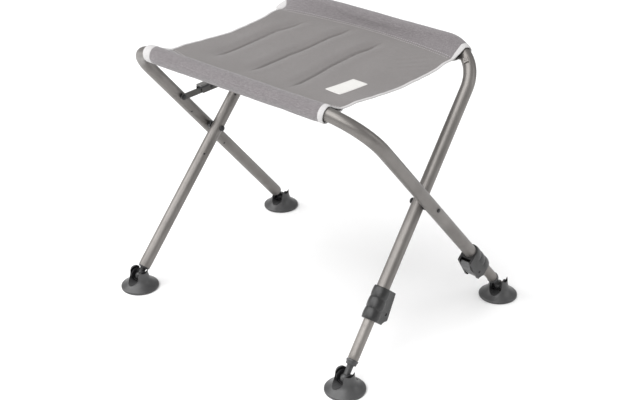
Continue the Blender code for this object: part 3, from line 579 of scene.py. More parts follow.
def foot(tag, side, hand, yaw):
    wf = WA_FOOT if side < 0 else WB_FOOT
    c = Vector((hand * wf, -side * HUB_Y, HUB_Z))
    m = Matrix.Translation(c) @ Matrix.Rotation(math.radians(yaw), 4, 'Z')
    h = -HUB_Z
    hub_r, hub_top = 0.0160, 0.0150
    prof = [(0.0, hub_top), (hub_r - 0.0014, hub_top), (hub_r - 0.0007, hub_top - 0.0003), (hub_r - 0.0003, hub_top - 0.0012)]
    n, z_hub, z_rim = 22, 0.0075, h + 0.0046
    for i in range(n + 1):
        t = i / n
        prof.append((hub_r + (RIM_R - 0.0006 - hub_r) * (0.18 * t + 0.82 * t ** 3.1), z_hub + (z_rim - z_hub) * t))
    prof += [(RIM_R - 0.0001, h + 0.0040), (RIM_R, h + 0.0034), (RIM_R, h + 0.0016), (RIM_R - 0.0003, h + 0.0007),
             (RIM_R - 0.0012, h + 0.0001), (RIM_R - 0.0018, h)]
    # shallow moulded recess and ring on the underside, above the ground contact
    prof += [(RIM_R - 0.0050, h), (RIM_R - 0.0056, h + 0.0012), (0.0150, h + 0.0012), (0.0146, h + 0.0004), (0.0120, h + 0.0004),
             (0.0116, h + 0.0012), (0.0, h + 0.0012)]
    bell = turned("foot_cup_" + tag, prof, 96, M_PLASTIC, m)
    w = SLOT_W + 0.0009
    # painted shadow: the slot, saddle and drum cutters leave the near-black finish on the faces they cut
    slot = block("c", (-w, -0.05, -0.001), (w, 0.05, 0.05), m, M_SLOT_SHADOW)
    slot_u = rod("c", w, -0.05, 0.05, 'Y', 64, (0, 0, -0.0004), m, M_PLASTIC)
    saddle = rod("c", 0.0162, 0.0, 0.05, 'X', 96, (0, 0, 0.0254), m, M_SLOT_SHADOW)
    arch = arch_cutter(0.0153, -0.05, 0.0, m)      # the other half keeps a rounded top
    drum = rod("c", 0.0116, -w - 0.0002, w + 0.0002, 'X', 64, (0, 0, 0), m, M_SLOT_SHADOW)
    cut(bell, [slot, slot_u, saddle, arch, drum])
    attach(bell, "foot_" + tag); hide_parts("foot_bell_" + tag)
    r0, r1, w0, w1 = 0.0112, 0.0102, 0.0111, 0.0086
    liner = turned("foot_socket_" + tag, [(0.0, w0), (r0 - 0.0006, w0), (r0, w0 - 0.0006), (r0, w1), (r1, w1), (r1, -w1),
                                          (r0, -w1), (r0, -w0 + 0.0006), (r0 - 0.0006, -w0), (0.0, -w0)], 64, M_LINER,
                   m @ ROT['X'])
    k = 14
    rb = BALL_R + 0.0009
    ballp = [(rb * math.sin(math.pi * i / k) if 0 < i < k else 0.0, rb * math.cos(math.pi * i / k)) for i in range(k + 1)]
    cut(liner, [turned("c", ballp, 40, M_LINER, m), block("c", (-0.0086, -0.03, -0.0045), (0.0086, 0.03, 0.03), m, M_LINER)])
    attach(liner, "foot_" + tag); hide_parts("foot_liner_" + tag)


foot("al", A, -1, 10)
foot("ar", A, 1, 12)
foot("bl", B, -1, 0)
foot("br", B, 1, -12)
for tag, side, body in (("a", A, "leg_a"), ("b", B, "leg_b")):
    s = turned("foot_ball_%sr" % tag, stem_profile(BALL_R, 0.0055, 0.0225, 0.0315, 0.0100, 0.0074, 0.045), 48, M_PLASTIC,
               leg_matrix(side, 1))
    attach(s, body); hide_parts("foot_stem_%sr" % tag)
for tag, side, end, body in (("a", A, END_AL, "frame_a"), ("b", B, END_BL, "frame_b")):
    s = turned("foot_ball_%sl" % tag, cap_profile(BALL_R, 0.0056, end), 48, M_LINER, leg_matrix(side, -1))
    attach(s, body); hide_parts("foot_stem_%sl" % tag)


# ------------------------------------------------------------------ telescopic tubes
for tag, side, top_s, z0, body in (("a", A, IN_TOP_A, COL_A, "leg_a"), ("b", B, IN_TOP_B, COL_B, "leg_b")):
    lm = leg_matrix(side, 1)
    start = 0.0318
    prof = [(IN_R - 0.0002, top_s), (IN_R, top_s - 0.0004)]
    prof += [(IN_R, top_s + (start - top_s) * k / 24) for k in range(1, 24)]
    prof += [(IN_R, start + 0.0004), (IN_R - 0.0002, start), (IN_R - IN_WALL, start), (IN_R - IN_WALL, top_s)]
    t = turned("inner_tube_" + tag, prof, 40, M_TUBE_IN, lm, closed=True)
    first = z0 + 0.0281 - 2 * 0.020
    cutters = []
    for i in range(7):
        z = first + i * 0.020
        if start + 0.008 < z < top_s - 0.02:
            cutters.append(rod("c", 0.0034, 0.004, 0.016, 'Y', 24, (0, 0, z), lm))
    cut(t, cutters)
    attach(t, body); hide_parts("inner_leg_tube_" + tag)


# ------------------------------------------------------------------ clamp collars and levers
def collar(tag, side, z0, parent):
    lm = leg_matrix(side, 1)
    z1 = z0 + COL_H
    prof = [(0.0098, z1), (0.0132, z1), (0.0137, z1 - 0.0003)]
    pitch = COL_H / 3
    for i in range(3):
        hi = z1 - i * pitch
        for k in range(1, 14):
            f = k / 14
            prof.append((0.0138 + 0.0010 * math.sin(math.pi * f) ** 0.75, hi - f * pitch))
        if i < 2:
            prof.append((0.0136, hi - pitch))
    prof += [(0.0137, z0 + 0.0003), (0.0132, z0), (0.0098, z0)]
    ring = turned("clamp_collar_" + tag, prof, 72, M_COLLAR, lm, closed=True)
    wall = [(-0.004, z0), (0.0166, z0), (0.0190, z0 + 0.0036), (0.0232, z0 + 0.0072), (0.0270, z0 + 0.0089),
            (0.0280, z0 + 0.0098), (0.0285, z0 + 0.0112), (0.0285, z0 + 0.0130), (0.0217, z1 - 0.0018), (0.0213, z1 - 0.0008),
            (0.0204, z1), (-0.004, z1)]
    cut(ring, [prism("c", wall, -0.0136, 0.0136, lm)], 'UNION')
    # painted shadow: these cutters leave the near-black finish in the bore, the channel and the pin hole
    cs = [rod("c", IN_R + 0.0004, z0 - 0.002, z0 + TUBE_IN_COL, 'Z', 64, (0, 0, 0), lm, M_SLOT_SHADOW),
          rod("c", LEG_R + 0.0004, z0 + TUBE_IN_COL - 0.0004, z1 + 0.002, 'Z', 64, (0, 0, 0), lm, M_SLOT_SHADOW)]
    cut(ring, cs)
    cs = [block("c", (-0.0095, 0.0118, z0 - 0.002), (0.0095, 0.040, z0 + TUBE_IN_COL - 0.001), lm, M_SLOT_SHADOW),
          block("c", (-0.0095, 0.0137, z0 + TUBE_IN_COL - 0.002), (0.0095, 0.040, z1 + 0.002), lm, M_SLOT_SHADOW),
          block("c", (-0.0040, 0.004, z0 + 0.0225), (0.0040, 0.016, z0 + 0.0340), lm, M_SLOT_SHADOW),
          rod("c", 0.0024, -0.02, 0.02, 'X', 24, (0, 0.0182, z0 + 0.0184), lm, M_SLOT_SHADOW)]
    cut(ring, cs)
    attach(ring, parent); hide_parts("collar_" + tag)
    pin = turned("clamp_pin_" + tag, [(0, 0.0134), (0.0011, 0.0134), (0.0015, 0.0131), (0.0015, -0.0131), (0.0011, -0.0134), (0, -0.0134)],
                 24, M_BOLT, lm @ Matrix.Translation((0, 0.0182, z0 + 0.0184)) @ ROT['X'])
    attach(pin, parent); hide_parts("lever_pin_" + tag)
    # lever with a rounded back, thumb grooves and an arched tail
    prof = [(0.0148, z0 + 0.0122), (0.0160, z0 + 0.0110), (0.0176, z0 + 0.0105), (0.0225, z0 + 0.0112), (0.0252, z0 + 0.0120),
            (0.0264, z0 + 0.0128), (0.0268, z0 + 0.0140), (0.0266, z0 + 0.0215)]
    for g in range(4):
        gz = z0 + 0.0235 + g * 0.0036
        prof += [(0.0265, gz), (0.0259, gz + 0.0009), (0.0265, gz + 0.0018)]
    prof += [(0.0262, z0 + 0.0400), (0.0254, z0 + 0.0440), (0.0236, z0 + 0.0474), (0.0212, z0 + 0.0503), (0.0190, z0 + 0.0518),
             (0.0179, z0 + 0.0516), (0.0173, z0 + 0.0505), (0.0182, z0 + 0.0478), (0.0191, z0 + 0.0444), (0.0186, z0 + 0.0410),
             (0.0160, z0 + 0.0385), (0.0142, z0 + 0.0340), (0.0142, z0 + 0.0150)]
    body = prism("clamp_lever_" + tag, prof, -0.0090, 0.0090, lm, M_LEVER)
    tooth = block("c", (-0.003, 0.0093, z0 + 0.0256), (0.003, 0.0150, z0 + 0.0306), lm, M_LEVER)
    cut(body, [tooth], 'UNION')
    cut(body, [rod("c", 0.0019, -0.012, 0.012, 'X', 24, (0, 0.0182, z0 + 0.0184), lm)])
    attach(body, "lever_" + tag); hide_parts("lock_lever_" + tag)


collar("a", A, COL_A, "frame_a")
collar("b", B, COL_B, "frame_b")

# ------------------------------------------------------------------ seat cloth
FINE = [(0.155, 0.245), (0.385, 0.470), (0.605, 0.705)]     # closer columns where the creases run
_t = np.linspace(0.0, 1.0, 4001)
_d = np.ones_like(_t)
for _a, _b in FINE:
    _d += 2.1 / (1 + np.exp(-(_t - _a) * 400)) / (1 + np.exp((_t - _b) * 400))
_c = np.r_[0, np.cumsum((_d[1:] + _d[:-1]) / 2)]
NX = 250
XI = np.interp(np.linspace(0.0, 1.0, NX + 1), _c / _c[-1], _t)


def smooth(t):
    t = np.clip(t, 0, 1)
    return t * t * (3 - 2 * t)


def wob(x, seed, amp, scale):
    """Slow deterministic waviness."""
    return amp * (np.sin(x * scale + seed) * 0.6 + np.sin(x * scale * 2.13 + seed * 2.7) * 0.3 + np.sin(x * scale * 4.4 + seed * 5.1) * 0.18)


EDGE_R = np.array([(-0.1765, 0.1900), (-0.150, 0.1862), (-0.135, 0.1838), (-0.125, 0.1862), (-0.068, 0.1880), (-0.016, 0.1912),
                   (0.055, 0.1950), (0.090, 0.1948), (0.114, 0.1930), (0.135, 0.1925), (0.1765, 0.1910)])
EDGE_L = np.array([(-0.1765, -0.2000), (-0.155, -0.1985), (-0.135, -0.1955), (-0.116, -0.1945), (-0.067, -0.1920), (0.004, -0.1912),
                   (0.082, -0.1902), (0.113, -0.1920), (0.1355, -0.1962), (0.1765, -0.2110)])


def table_at(tab, y):
    return np.interp(y, tab[:, 0], tab[:, 1])


def smooth_table(tab):
    ys = np.linspace(tab[0, 0], tab[-1, 0], 400)
    xs = np.interp(ys, tab[:, 0], tab[:, 1])
    k = np.hanning(31)
    k /= k.sum()
    pad = np.r_[np.full(15, xs[0]), xs, np.full(15, xs[-1])]
    return np.stack([ys, np.convolve(pad, k, 'valid')], 1)


EDGE_R, EDGE_L = smooth_table(EDGE_R), smooth_table(EDGE_L)

CREASES = [  # (y, x) points, depth, width, y range
    (np.array([(-0.12, -0.1215), (-0.0842, -0.1245), (-0.0093, -0.130), (0.0587, -0.133), (0.1103, -0.1187), (0.14, -0.110)]), 0.0036, 0.0027, (-0.112, 0.128)),
    (np.array([(-0.12, -0.0320), (-0.0953, -0.0342), (-0.0034, -0.0428), (0.0942, -0.0393), (0.1539, -0.0276)]), 0.0042, 0.0028, (-0.120, 0.152)),
    (np.array([(-0.13, 0.0640), (-0.1127, 0.0620), (-0.001, 0.0436), (0.0648, 0.0415), (0.1267, 0.0510), (0.1481, 0.0520)]), 0.0046, 0.0028, (-0.128, 0.132)),
]
BILLOWS = [-0.190, -0.127, -0.038, 0.048, 0.190]


def relief(x, y):
    """Creases and soft rolls running across the bars; metres."""
    z = np.zeros_like(x)
    for tab, depth, width, (y0, y1) in CREASES:
        xc = np.interp(y, tab[:, 0], tab[:, 1])
        fade = smooth((y - y0) / 0.045) * smooth((y1 - y) / 0.040)
        d = x - xc
        skew = np.where(d < 0, width * 0.52, width * 1.9)      # steeper on the left-hand side
        z -= depth * fade * (0.62 * np.exp(-(np.abs(d) / skew) ** 1.3) + 0.38 * np.exp(-(d / (width * 4.6)) ** 2))
        z += 0.0006 * fade * np.exp(-((np.abs(d) - 0.018) / 0.010) ** 2)
    mid = smooth((0.150 - np.abs(y)) / 0.06)
    for a, b in zip(BILLOWS, BILLOWS[1:]):
        t = (x - a) / (b - a)
        z += 0.0012 * mid * np.where((t > 0) & (t < 1), np.sin(np.clip(t, 0, 1) * math.pi) ** 1.2, 0)
    # small wrinkles by the rear right and front left corners, and slow unevenness
    z += 0.0004 * np.exp(-((x - 0.098) / 0.020) ** 2 - ((y - 0.112) / 0.016) ** 2) * np.sin((x * 0.4 + y) * 420)
    z += 0.00025 * np.exp(-((x - 0.150) / 0.030) ** 2 - ((y - 0.085) / 0.030) ** 2) * np.sin((x - y) * 260)
    z += 0.0006 * mid * (np.sin(x * 47 + 1.0) * np.sin(y * 33 + 0.4) + 0.5 * np.sin(x * 95 + y * 41 + 2.0))
    return z


def seam_curve(side, xi):
    """World points of the seam between cloth and sleeve."""
    xb = -0.20 + 0.39 * xi
    bow = (xb / 0.17) ** 2
    u = 0.0190 + 0.0195 * np.clip(bow, 0, 1.5)
    y = side * (BAR_Y - u)
    x = table_at(EDGE_L, y) + (table_at(EDGE_R, y) - table_at(EDGE_L, y)) * xi
    z = 0.4492 + 0.0012 * bow + wob(xb, 1.0 + side, 0.0004, 40)
    return np.stack([x, y, z], 1)


def bar_at(side, x):
    """Point, tangent and inner in-plane direction of the bar's axis at x, in world axes."""
    path, pm = (path_a, PA) if side < 0 else (path_b, PB)
    P = np.array([list(p) for p in path])
    lo = int(np.argmin(np.abs(P[:, 0] + 0.245) + 10 * (P[:, 1] > 0.09)))
    keep = [i for i in range(len(P)) if P[i, 1] < 0.09 and abs(P[i, 0]) < 0.25]
    Q = P[keep]
    order = np.argsort(Q[:, 0])
    Q = Q[order]
    y = np.interp(x, Q[:, 0], Q[:, 1])
    dx = 1e-4
    yt = (np.interp(x + dx, Q[:, 0], Q[:, 1]) - np.interp(x - dx, Q[:, 0], Q[:, 1])) / (2 * dx)
    # slope of the polyline by a central difference
    T = np.stack([np.ones_like(x), yt, np.zeros_like(x)], 1)
    T /= np.linalg.norm(T, axis=1)[:, None]
    M = np.stack([-T[:, 1], T[:, 0], np.zeros_like(x)], 1)   # in-plane, towards the legs' side
    R3 = np.array(pm.to_3x3())
    W = lambda v: v @ R3.T
    pos = W(np.stack([x, y, np.zeros_like(x)], 1)) + np.array(pm.translation)
    nrm = R3 @ np.array([0, 0, 1.0])
    if nrm[2] < 0:
        nrm = -nrm
    return pos, W(T), W(M), np.broadcast_to(nrm, pos.shape)


SLEEVE_END = {A: (-0.1980, 0.1905), B: (-0.2110, 0.1885)}
SLEEVE_R = {A: 0.0142, B: 0.0152}
SLEEVE_OFF = {A: -0.0014, B: 0.0010}      # the front sleeve is drawn tight over the top of its bar
N_PAN, N_UP, N_ARC, N_LOW = 44, 9, 40, 8


def surface(side, xi):
    """Grid of world points [column, row]: rows go from the middle line to the seam, up over the bar and back to the seam."""
    seam = seam_curve(side, xi)
    t = np.linspace(0, 1, N_PAN + 1)      # 0 at the seam, 1 at the middle
    cols = []
    y = seam[:, 1][:, None] * (1 - t)[None, :]
    xe = table_at(EDGE_L, y) + (table_at(EDGE_R, y) - table_at(EDGE_L, y)) * xi[:, None]
    sag = 0.0053 * np.sin(t * math.pi / 2) ** 1.2
    base = seam[:, 2][:, None] + (0.4490 - seam[:, 2])[:, None] * smooth(t)[None, :]
    z = base - sag[None, :] + relief(xe, y) * smooth(t / 0.12)[None, :]
    # the free side edges lift a little and wave
    d_edge = np.minimum(xi, 1 - xi)[:, None] * 0.385
    z += (0.0012 + wob(y, 0.3, 0.0009, 55)) * np.exp(-(d_edge / 0.022) ** 2) * smooth(t / 0.2)[None, :] * (1 - np.exp(-(y / 0.018) ** 2))
    panel = np.stack([xe, y, z], 2)[:, ::-1]          # middle first, seam last
    lo, hi = SLEEVE_END[side]
    xb = lo + (hi - lo) * xi
    P, T, M, N = bar_at(side, xb)
    U = SY * M + CZ * N
    V = -CZ * M + SY * N
    d = seam - P
    su, sv, st = (d * U).sum(1), (d * V).sum(1), (d * T).sum(1)
    near = np.exp(-((xb - lo) / 0.022) ** 2) + np.exp(-((hi - xb) / 0.022) ** 2)
    r = SLEEVE_R[side] + wob(xb, 2.0 + side, 0.00035, 38) - (0.0004 if side < 0 else 0.0016) * near
    off = SLEEVE_OFF[side] * (1 - 0.6 * near)
    sv = sv - off
    rows = []
    for i in range(len(xi)):
        rr = r[i]
        # upper tangent from the seam point to the circle, lower tangent back to just under it
        def tangent(pu, pv, sign):
            dist = math.hypot(pu, pv)
            base = math.atan2(pv, pu)
            return base + sign * math.acos(min(1.0, rr / dist))
        a0 = tangent(su[i], sv[i], 1)
        lu, lv = su[i] - 0.0006, sv[i] - 0.0026
        a1 = tangent(lu, lv, -1) + math.tau
        pts = []
        p0 = np.array([su[i], sv[i]])
        c0 = np.array([math.cos(a0), math.sin(a0)]) * rr
        for k in range(1, N_UP + 1):
            f = k / N_UP
            q = p0 + (c0 - p0) * f
            q = q + np.array([math.cos(a0), math.sin(a0)]) * (-0.0011 * math.sin(math.pi * f))  # slight hollow
            pts.append((q, st[i] * (1 - f)))
        sagdir = np.array([0.0, -1.0])
        for k in range(1, N_ARC + 1):
            a = a0 + (a1 - a0) * k / N_ARC
            low = max(0.0, -math.sin(a)) ** 2
            q = np.array([math.cos(a), math.sin(a)]) * rr + sagdir * low * (0.0010 + wob(np.array(xb[i]), 4.0, 0.0004, 60))
            pts.append((q, 0.0))
        c1 = pts[-1][0]
        p1 = np.array([lu, lv])
        for k in range(1, N_LOW + 1):
            f = k / N_LOW
            q = c1 + (p1 - c1) * f + sagdir * 0.0010 * math.sin(math.pi * f)
            pts.append((q, st[i] * f))
        rows.append(np.array([P[i] + U[i] * q[0] + V[i] * (q[1] + off[i]) + T[i] * s for q, s in pts]))
    loop = np.array(rows)
    return np.concatenate([panel, loop], 1)


def grid_normals(G):
    du = np.gradient(G, axis=0)
    dv = np.gradient(G, axis=1)
    n = np.cross(du, dv)
    return n / np.maximum(np.linalg.norm(n, axis=2), 1e-12)[:, :, None]


CLOTH_T = 0.0010


def cloth(name, side, mats):
    G = surface(side, XI)
    N = grid_normals(G)
    if N[NX // 2, 5, 2] < 0:
        N = -N
    rows = G.shape[1]
    low = G - N * CLOTH_T
    verts = np.concatenate([G.reshape(-1, 3), low.reshape(-1, 3)])
    nt_ = G.shape[0] * rows
    idx = lambda i, j: i * rows + j
    faces, fm = [], []
    seam_row = N_PAN
    for i in range(NX):
        for j in range(rows - 1):
            q = (idx(i, j), idx(i + 1, j), idx(i + 1, j + 1), idx(i, j + 1))
            faces.append(q); faces.append(tuple(nt_ + v for v in q[::-1]))
            k = 0 if j < seam_row else 1
            fm += [k, k]
    rim = [idx(i, 0) for i in range(NX + 1)] + [idx(NX, j) for j in range(1, rows)]
    rim += [idx(i, rows - 1) for i in range(NX - 1, -1, -1)] + [idx(0, j) for j in range(rows - 2, 0, -1)]
    for p, q in zip(rim, rim[1:] + rim[:1]):
        faces.append((p, q, nt_ + q, nt_ + p)[::-1])
        fm.append(0)
    o = make(name, verts, faces, mats, fm, 0)
    bm = bmesh.new()
    bm.from_mesh(o.data)
    bmesh.ops.recalc_face_normals(bm, faces=bm.faces)
    bm.to_mesh(o.data)
    bm.free()
    o.data.shade_smooth()
    o.data.set_sharp_from_angle(angle=math.radians(50))
    return o, G, N


def tape(name, side, end, G, N, sleeve_w, panel_w):
    """Binding folded over the free edge: ends 0 (left) or 1 (right)."""
    rows = G.shape[1]
    xi_edge = 1.0 if end else 0.0
    j = np.arange(rows)
    w = panel_w + (sleeve_w - panel_w) * smooth((j - N_PAN + 2) / 7.0)
    width = np.linalg.norm(G[NX] - G[0], axis=1)
    sect = [(1.0, 0.0002), (0.95, 0.00055), (0.5, 0.00065), (0.12, 0.0006), (-0.12, 0.0003), (-0.18, -0.0005), (-0.12, -0.0013),
            (0.12, -0.0016), (0.5, -0.0016), (0.95, -0.0015), (1.0, -0.0011)]
    rings = []
    xi_s = [max(0.0, min(1.0, 1.0)) for _ in sect]
    for f, h in sect:
        dist = np.maximum(f, 0) * w
        xi = xi_edge + (-1 if end else 1) * dist / width
        # sample the grid in xi
        pos = np.interp(xi, XI, np.arange(NX + 1))
        i0 = np.clip(np.floor(pos).astype(int), 0, NX - 1)
        fr = (pos - i0)[:, None]
        q = G[i0, j] * (1 - fr) + G[i0 + 1, j] * fr
        n = N[i0, j] * (1 - fr) + N[i0 + 1, j] * fr
        n /= np.linalg.norm(n, axis=1)[:, None]
        if f < 0:
            a = (G[NX, j] - G[NX - 1, j]) if end else (G[0, j] - G[1, j])
            a = a / np.linalg.norm(a, axis=1)[:, None]
            q = q + a * (-f * 0.0045)
        rings.append(q + n * h)
    R = np.array(rings)            # [section, row, 3]
    ns = len(sect)
    verts = R.transpose(1, 0, 2).reshape(-1, 3)
    faces = []
    for a in range(rows - 1):
        for k in range(ns):
            k2 = (k + 1) % ns
            faces.append((a * ns + k, a * ns + k2, (a + 1) * ns + k2, (a + 1) * ns + k))
    faces.append(tuple(range(ns)))
    faces.append(tuple((rows - 1) * ns + k for k in range(ns))[::-1])
    o = make(name, verts, faces, M_TAPE, None, 0)
    bm = bmesh.new()
    bm.from_mesh(o.data)
    bmesh.ops.recalc_face_normals(bm, faces=bm.faces)
    bm.to_mesh(o.data)
    bm.free()
    o.data.shade_smooth()
    o.data.set_sharp_from_angle(angle=math.radians(60))
    return o


def sample(G, N, i, j):
    """Point and normal of a grid at fractional column and row."""
    i0, j0 = int(min(max(i, 0), G.shape[0] - 2)), int(min(max(j, 0), G.shape[1] - 2))
    fi, fj = i - i0, j - j0
    def mixg(X):
        return ((X[i0, j0] * (1 - fi) + X[i0 + 1, j0] * fi) * (1 - fj) + (X[i0, j0 + 1] * (1 - fi) + X[i0 + 1, j0 + 1] * fi) * fj)
    n = mixg(N)
    return mixg(G), n / np.linalg.norm(n)


def stitches(name, lines, mat, length=0.0030, gap=0.0016, rad=0.00030):
    """Lines are lists of (point, normal); a dash of thread lies on the surface along each."""
    verts, faces = [], []
    for pts in lines:
        P = np.array([p for p, n in pts])
        Nn = np.array([n for p, n in pts])
        s = np.r_[0, np.cumsum(np.linalg.norm(np.diff(P, axis=0), axis=1))]
        t = gap
        while t + length < s[-1]:
            ring_id = []
            for f, k in ((0.0, 0.25), (0.18, 1.0), (0.5, 1.15), (0.82, 1.0), (1.0, 0.25)):
                u = t + length * f
                c = np.array([np.interp(u, s, P[:, a]) for a in range(3)])
                n = np.array([np.interp(u, s, Nn[:, a]) for a in range(3)])
                n /= np.linalg.norm(n)
                c2 = np.array([np.interp(min(u + 1e-3, s[-1]), s, P[:, a]) for a in range(3)])
                c1 = np.array([np.interp(max(u - 1e-3, 0), s, P[:, a]) for a in range(3)])
                d = c2 - c1
                d /= np.linalg.norm(d)
                b = np.cross(n, d)
                b /= np.linalg.norm(b)
                rise = rad * (0.55 * math.sin(math.pi * f))
                base = len(verts)
                for q in range(6):
                    a = math.tau * q / 6
                    verts.append(c + n * (rise + rad * 0.35 + rad * k * 0.8 * math.sin(a)) + b * rad * k * math.cos(a))
                ring_id.append(base)
            for r0, r1 in zip(ring_id, ring_id[1:]):
                for q in range(6):
                    faces.append((r0 + q, r0 + (q + 1) % 6, r1 + (q + 1) % 6, r1 + q))
            faces.append(tuple(ring_id[0] + q for q in range(6))[::-1])
            faces.append(tuple(ring_id[-1] + q for q in range(6)))
            t += length + gap
    o = make(name, verts, faces, mat, None, 0)
    bm = bmesh.new()
    bm.from_mesh(o.data)
    bmesh.ops.recalc_face_normals(bm, faces=bm.faces)
    bm.to_mesh(o.data)
    bm.free()
    o.data.shade_smooth()
    return o


for side, tag, bodies, y0, y1, tapes in (
        (A, "front", ("frame_a", "seat_front"), -0.1665, -0.1500, {0: (0.0165, 0.0040), 1: (0.0078, 0.0040)}),
        (B, "rear", ("frame_b", "seat_rear"), 0.1665, 0.1500, {0: (0.0150, 0.0040), 1: (0.0072, 0.0040)})):
    o, G, N = cloth("seat_cloth_" + tag, side, [M_SEAT, M_SLEEVE])
    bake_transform(o)
    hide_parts("seat_panel_" + tag, "seat_sleeve_" + tag)
    for end, (sw, pw) in tapes.items():
        t = tape("seat_binding_%s_%s" % (tag, "right" if end else "left"), side, end, G, N, sw, pw)
        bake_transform(t)
    # twin seam stitching beside the sleeve
    lines = []
    for off in (-1.0, 0.75):
        lines.append([sample(G, N, i, N_PAN + off) for i in range(3, NX - 2)])
    st = stitches("seat_seam_stitch_" + tag, lines, M_THREAD)
    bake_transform(st)
    if side == A:
        GA, NA = G, N

# blank sewn label following the cloth
LX, LY, HX, HY, LROT = 0.1277, -0.0580, 0.0160, 0.0325, math.radians(-2.5)
co = GA[:, :N_PAN + 1].reshape(-1, 3)


def cloth_height(x, y):
    d = (co[:, 0] - x) ** 2 + (co[:, 1] - y) ** 2
    k = np.argsort(d)[:6]
    w = 1.0 / (d[k] + 1e-8)
    A3 = np.stack([co[k, 0], co[k, 1], np.ones(6)], 1)
    sol = np.linalg.lstsq(A3 * w[:, None] ** 0.5, co[k, 2] * w ** 0.5, rcond=None)[0]
    return sol[0] * x + sol[1] * y + sol[2]


def label_piece():
    n, rc, seg = 0, 0.0024, 6
    nu, nv = 14, 26
    ring = []
    def inside(a, b):
        """Maps the unit square to a rounded rectangle."""
        x, y = a * HX, b * HY
        ex, ey = HX - rc, HY - rc
        if abs(x) > ex and abs(y) > ey:
            vx, vy = abs(x) - ex, abs(y) - ey
            m_ = max(vx, vy)
            l_ = math.hypot(vx, vy)
            k = m_ / l_ if l_ > 0 else 1.0
            x, y = math.copysign(ex + vx * k, x), math.copysign(ey + vy * k, y)
        return x, y
    c, s = math.cos(LROT), math.sin(LROT)
    top, low = [], []
    us = np.r_[-1, -0.97, np.linspace(-0.9, 0.9, nu - 3), 0.97, 1]
    vs = np.r_[-1, -0.985, np.linspace(-0.94, 0.94, nv - 3), 0.985, 1]
    for a in us:
        for b in vs:
            x, y = inside(a, b)
            wx, wy = LX + c * x - s * y, LY + s * x + c * y
            h = cloth_height(wx, wy)
            edge = 0.00028 if (abs(a) > 0.99 or abs(b) > 0.99) else 0.00062
            top.append((wx, wy, h + edge))
            low.append((wx, wy, h - 0.0002))
    nb = len(vs)
    verts = top + low
    k0 = len(top)
    faces = []
    for i in range(len(us) - 1):
        for j in range(nb - 1):
            q = (i * nb + j, (i + 1) * nb + j, (i + 1) * nb + j + 1, i * nb + j + 1)
            faces += [q, tuple(k0 + v for v in q[::-1])]
    rim = [i * nb for i in range(len(us))] + [(len(us) - 1) * nb + j for j in range(1, nb)]
    rim += [i * nb + nb - 1 for i in range(len(us) - 2, -1, -1)] + [j for j in range(nb - 2, 0, -1)]
    for p, q in zip(rim, rim[1:] + rim[:1]):
        faces.append((p, k0 + p, k0 + q, q))
    o = make("seat_label_blank", verts, faces, M_LABEL, None, 40)
    loop = []
    for k in range(121):
        a = math.tau * k / 120
        # superellipse walk just inside the border
        x = math.copysign(abs(math.cos(a)) ** 0.28, math.cos(a)) * (HX - 0.0018)
        y = math.copysign(abs(math.sin(a)) ** 0.28, math.sin(a)) * (HY - 0.0018)
        wx, wy = LX + c * x - s * y, LY + s * x + c * y
        loop.append((np.array([wx, wy, cloth_height(wx, wy) + 0.00055]), np.array([0, 0, 1.0])))
    st = stitches("seat_label_stitch", [loop], M_THREAD, 0.0022, 0.0013, 0.00022)
    return o, st


lab, lab_st = label_piece()
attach(lab, "seat_front"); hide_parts("seat_label")
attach(lab_st, "seat_front")

# ------------------------------------------------------------------ finishes for the carried-over CAD pieces
BY_PREFIX = [("pivot_bolt", M_BOLT), ("pivot_nut", M_BOLT), ("pivot_spacer", M_LINER), ("brace_rivet", M_BOLT), ("brace_knee", M_BOLT),
             ("brace_link", M_STEEL), ("brace_lock_slide", M_BOLT), ("brace_thumb", M_TAB), ("leg_guide", M_PLASTIC),
             ("lever_spring", M_STEEL), ("sleeve_clip", M_TUBE), ("clip_screw", M_TUBE)]
for name, o in nodes.items():
    if o.hide_render:
        continue
    for p, m in BY_PREFIX:
        if name.startswith(p):
            o.data.materials.clear()
            o.data.materials.append(m)
            break

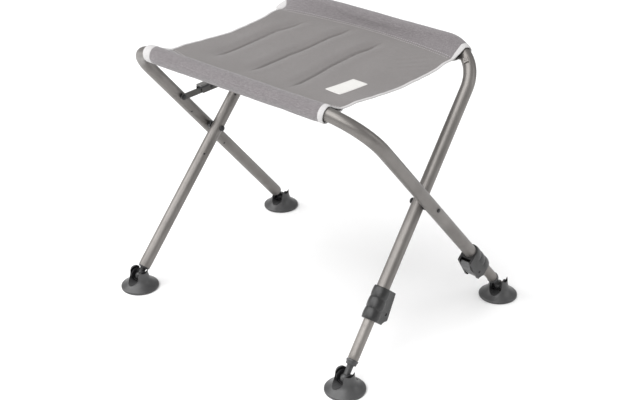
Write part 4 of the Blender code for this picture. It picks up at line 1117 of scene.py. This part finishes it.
# ------------------------------------------------------------------ floor, light, camera
def floor():
    R, n, m = 4.0, 96, 24
    verts, faces = [(0, 0, 0)], []
    for k in range(1, m + 1):
        r = R * (k / m) ** 1.6
        for a in range(n):
            verts.append((r * math.cos(math.tau * a / n), r * math.sin(math.tau * a / n), 0))
    for a in range(n):
        faces.append((0, 1 + a, 1 + (a + 1) % n))
    for k in range(m - 1):
        for a in range(n):
            p, q = 1 + k * n, 1 + (k + 1) * n
            faces.append((p + a, q + a, q + (a + 1) % n, p + (a + 1) % n))
    mt, nt, pr = new_mat("floor_finish")
    f = noise(nt, 3.0, (1, 1, 1), 2.0)
    nt.links.new(mix(nt, rng(nt, f, 0, 1, 0.3, 0.7), (0.90, 0.90, 0.90), (0.92, 0.92, 0.92)), pr.inputs["Base Color"])
    pr.inputs["Roughness"].default_value = 0.8
    pr.inputs["Specular IOR Level"].default_value = 0.2
    o = make("floor", verts, faces, mt, None, 0)
    return o


floor()
world = bpy.data.worlds.new("studio")
scene.world = world
world.use_nodes = True
bg = world.node_tree.nodes["Background"]
bg.inputs["Color"].default_value = (1.0, 1.0, 1.0, 1.0)
bg.inputs["Strength"].default_value = 0.50


def area(name, loc, target, size, power, color=(1, 1, 1)):
    l = bpy.data.lights.new(name, 'AREA')
    l.shape = 'RECTANGLE'
    l.size, l.size_y = size
    l.energy = power
    l.color = color
    o = bpy.data.objects.new(name, l)
    o.location = loc
    o.rotation_euler = (Vector(target) - Vector(loc)).to_track_quat('-Z', 'Y').to_euler()
    scene.collection.objects.link(o)
    return o


def sun(name, aim, strength, angle):
    l = bpy.data.lights.new(name, 'SUN')
    l.energy = strength
    l.angle = math.radians(angle)
    o = bpy.data.objects.new(name, l)
    o.rotation_euler = Vector(aim).to_track_quat('-Z', 'Y').to_euler()
    scene.collection.objects.link(o)
    return o


sun("overhead", (0.30, 0.50, -1.0), 2.5, 60)
area("left", (-1.5, -1.1, 0.9), (0, 0, 0.25), (1.2, 1.8), 13)
area("front_top", (1.05, -1.95, 1.95), (0, 0, 0.3), (1.9, 1.3), 25)
area("right_back", (1.5, 1.1, 1.1), (0, 0, 0.3), (0.8, 1.4), 6)

cam = bpy.data.cameras.new("camera")
cam.sensor_fit = 'HORIZONTAL'
cam.sensor_width = 36.0
cam.lens = 1315.43 * 36.0 / 640.0
cam.clip_start, cam.clip_end = 0.05, 50.0
co_ = bpy.data.objects.new("camera", cam)
scene.collection.objects.link(co_)
R_ = Vector((0.74951227, 0.66193159, -0.00882784))
U_ = Vector((-0.30025818, 0.35180981, 0.88660864))
F_ = Vector((-0.58997999, 0.66187342, -0.46243614))
mm = Matrix((R_, U_, -F_)).transposed().to_4x4()
mm.translation = (1.36373376, -1.50978875, 1.24107968)
co_.matrix_world = mm
scene.camera = co_
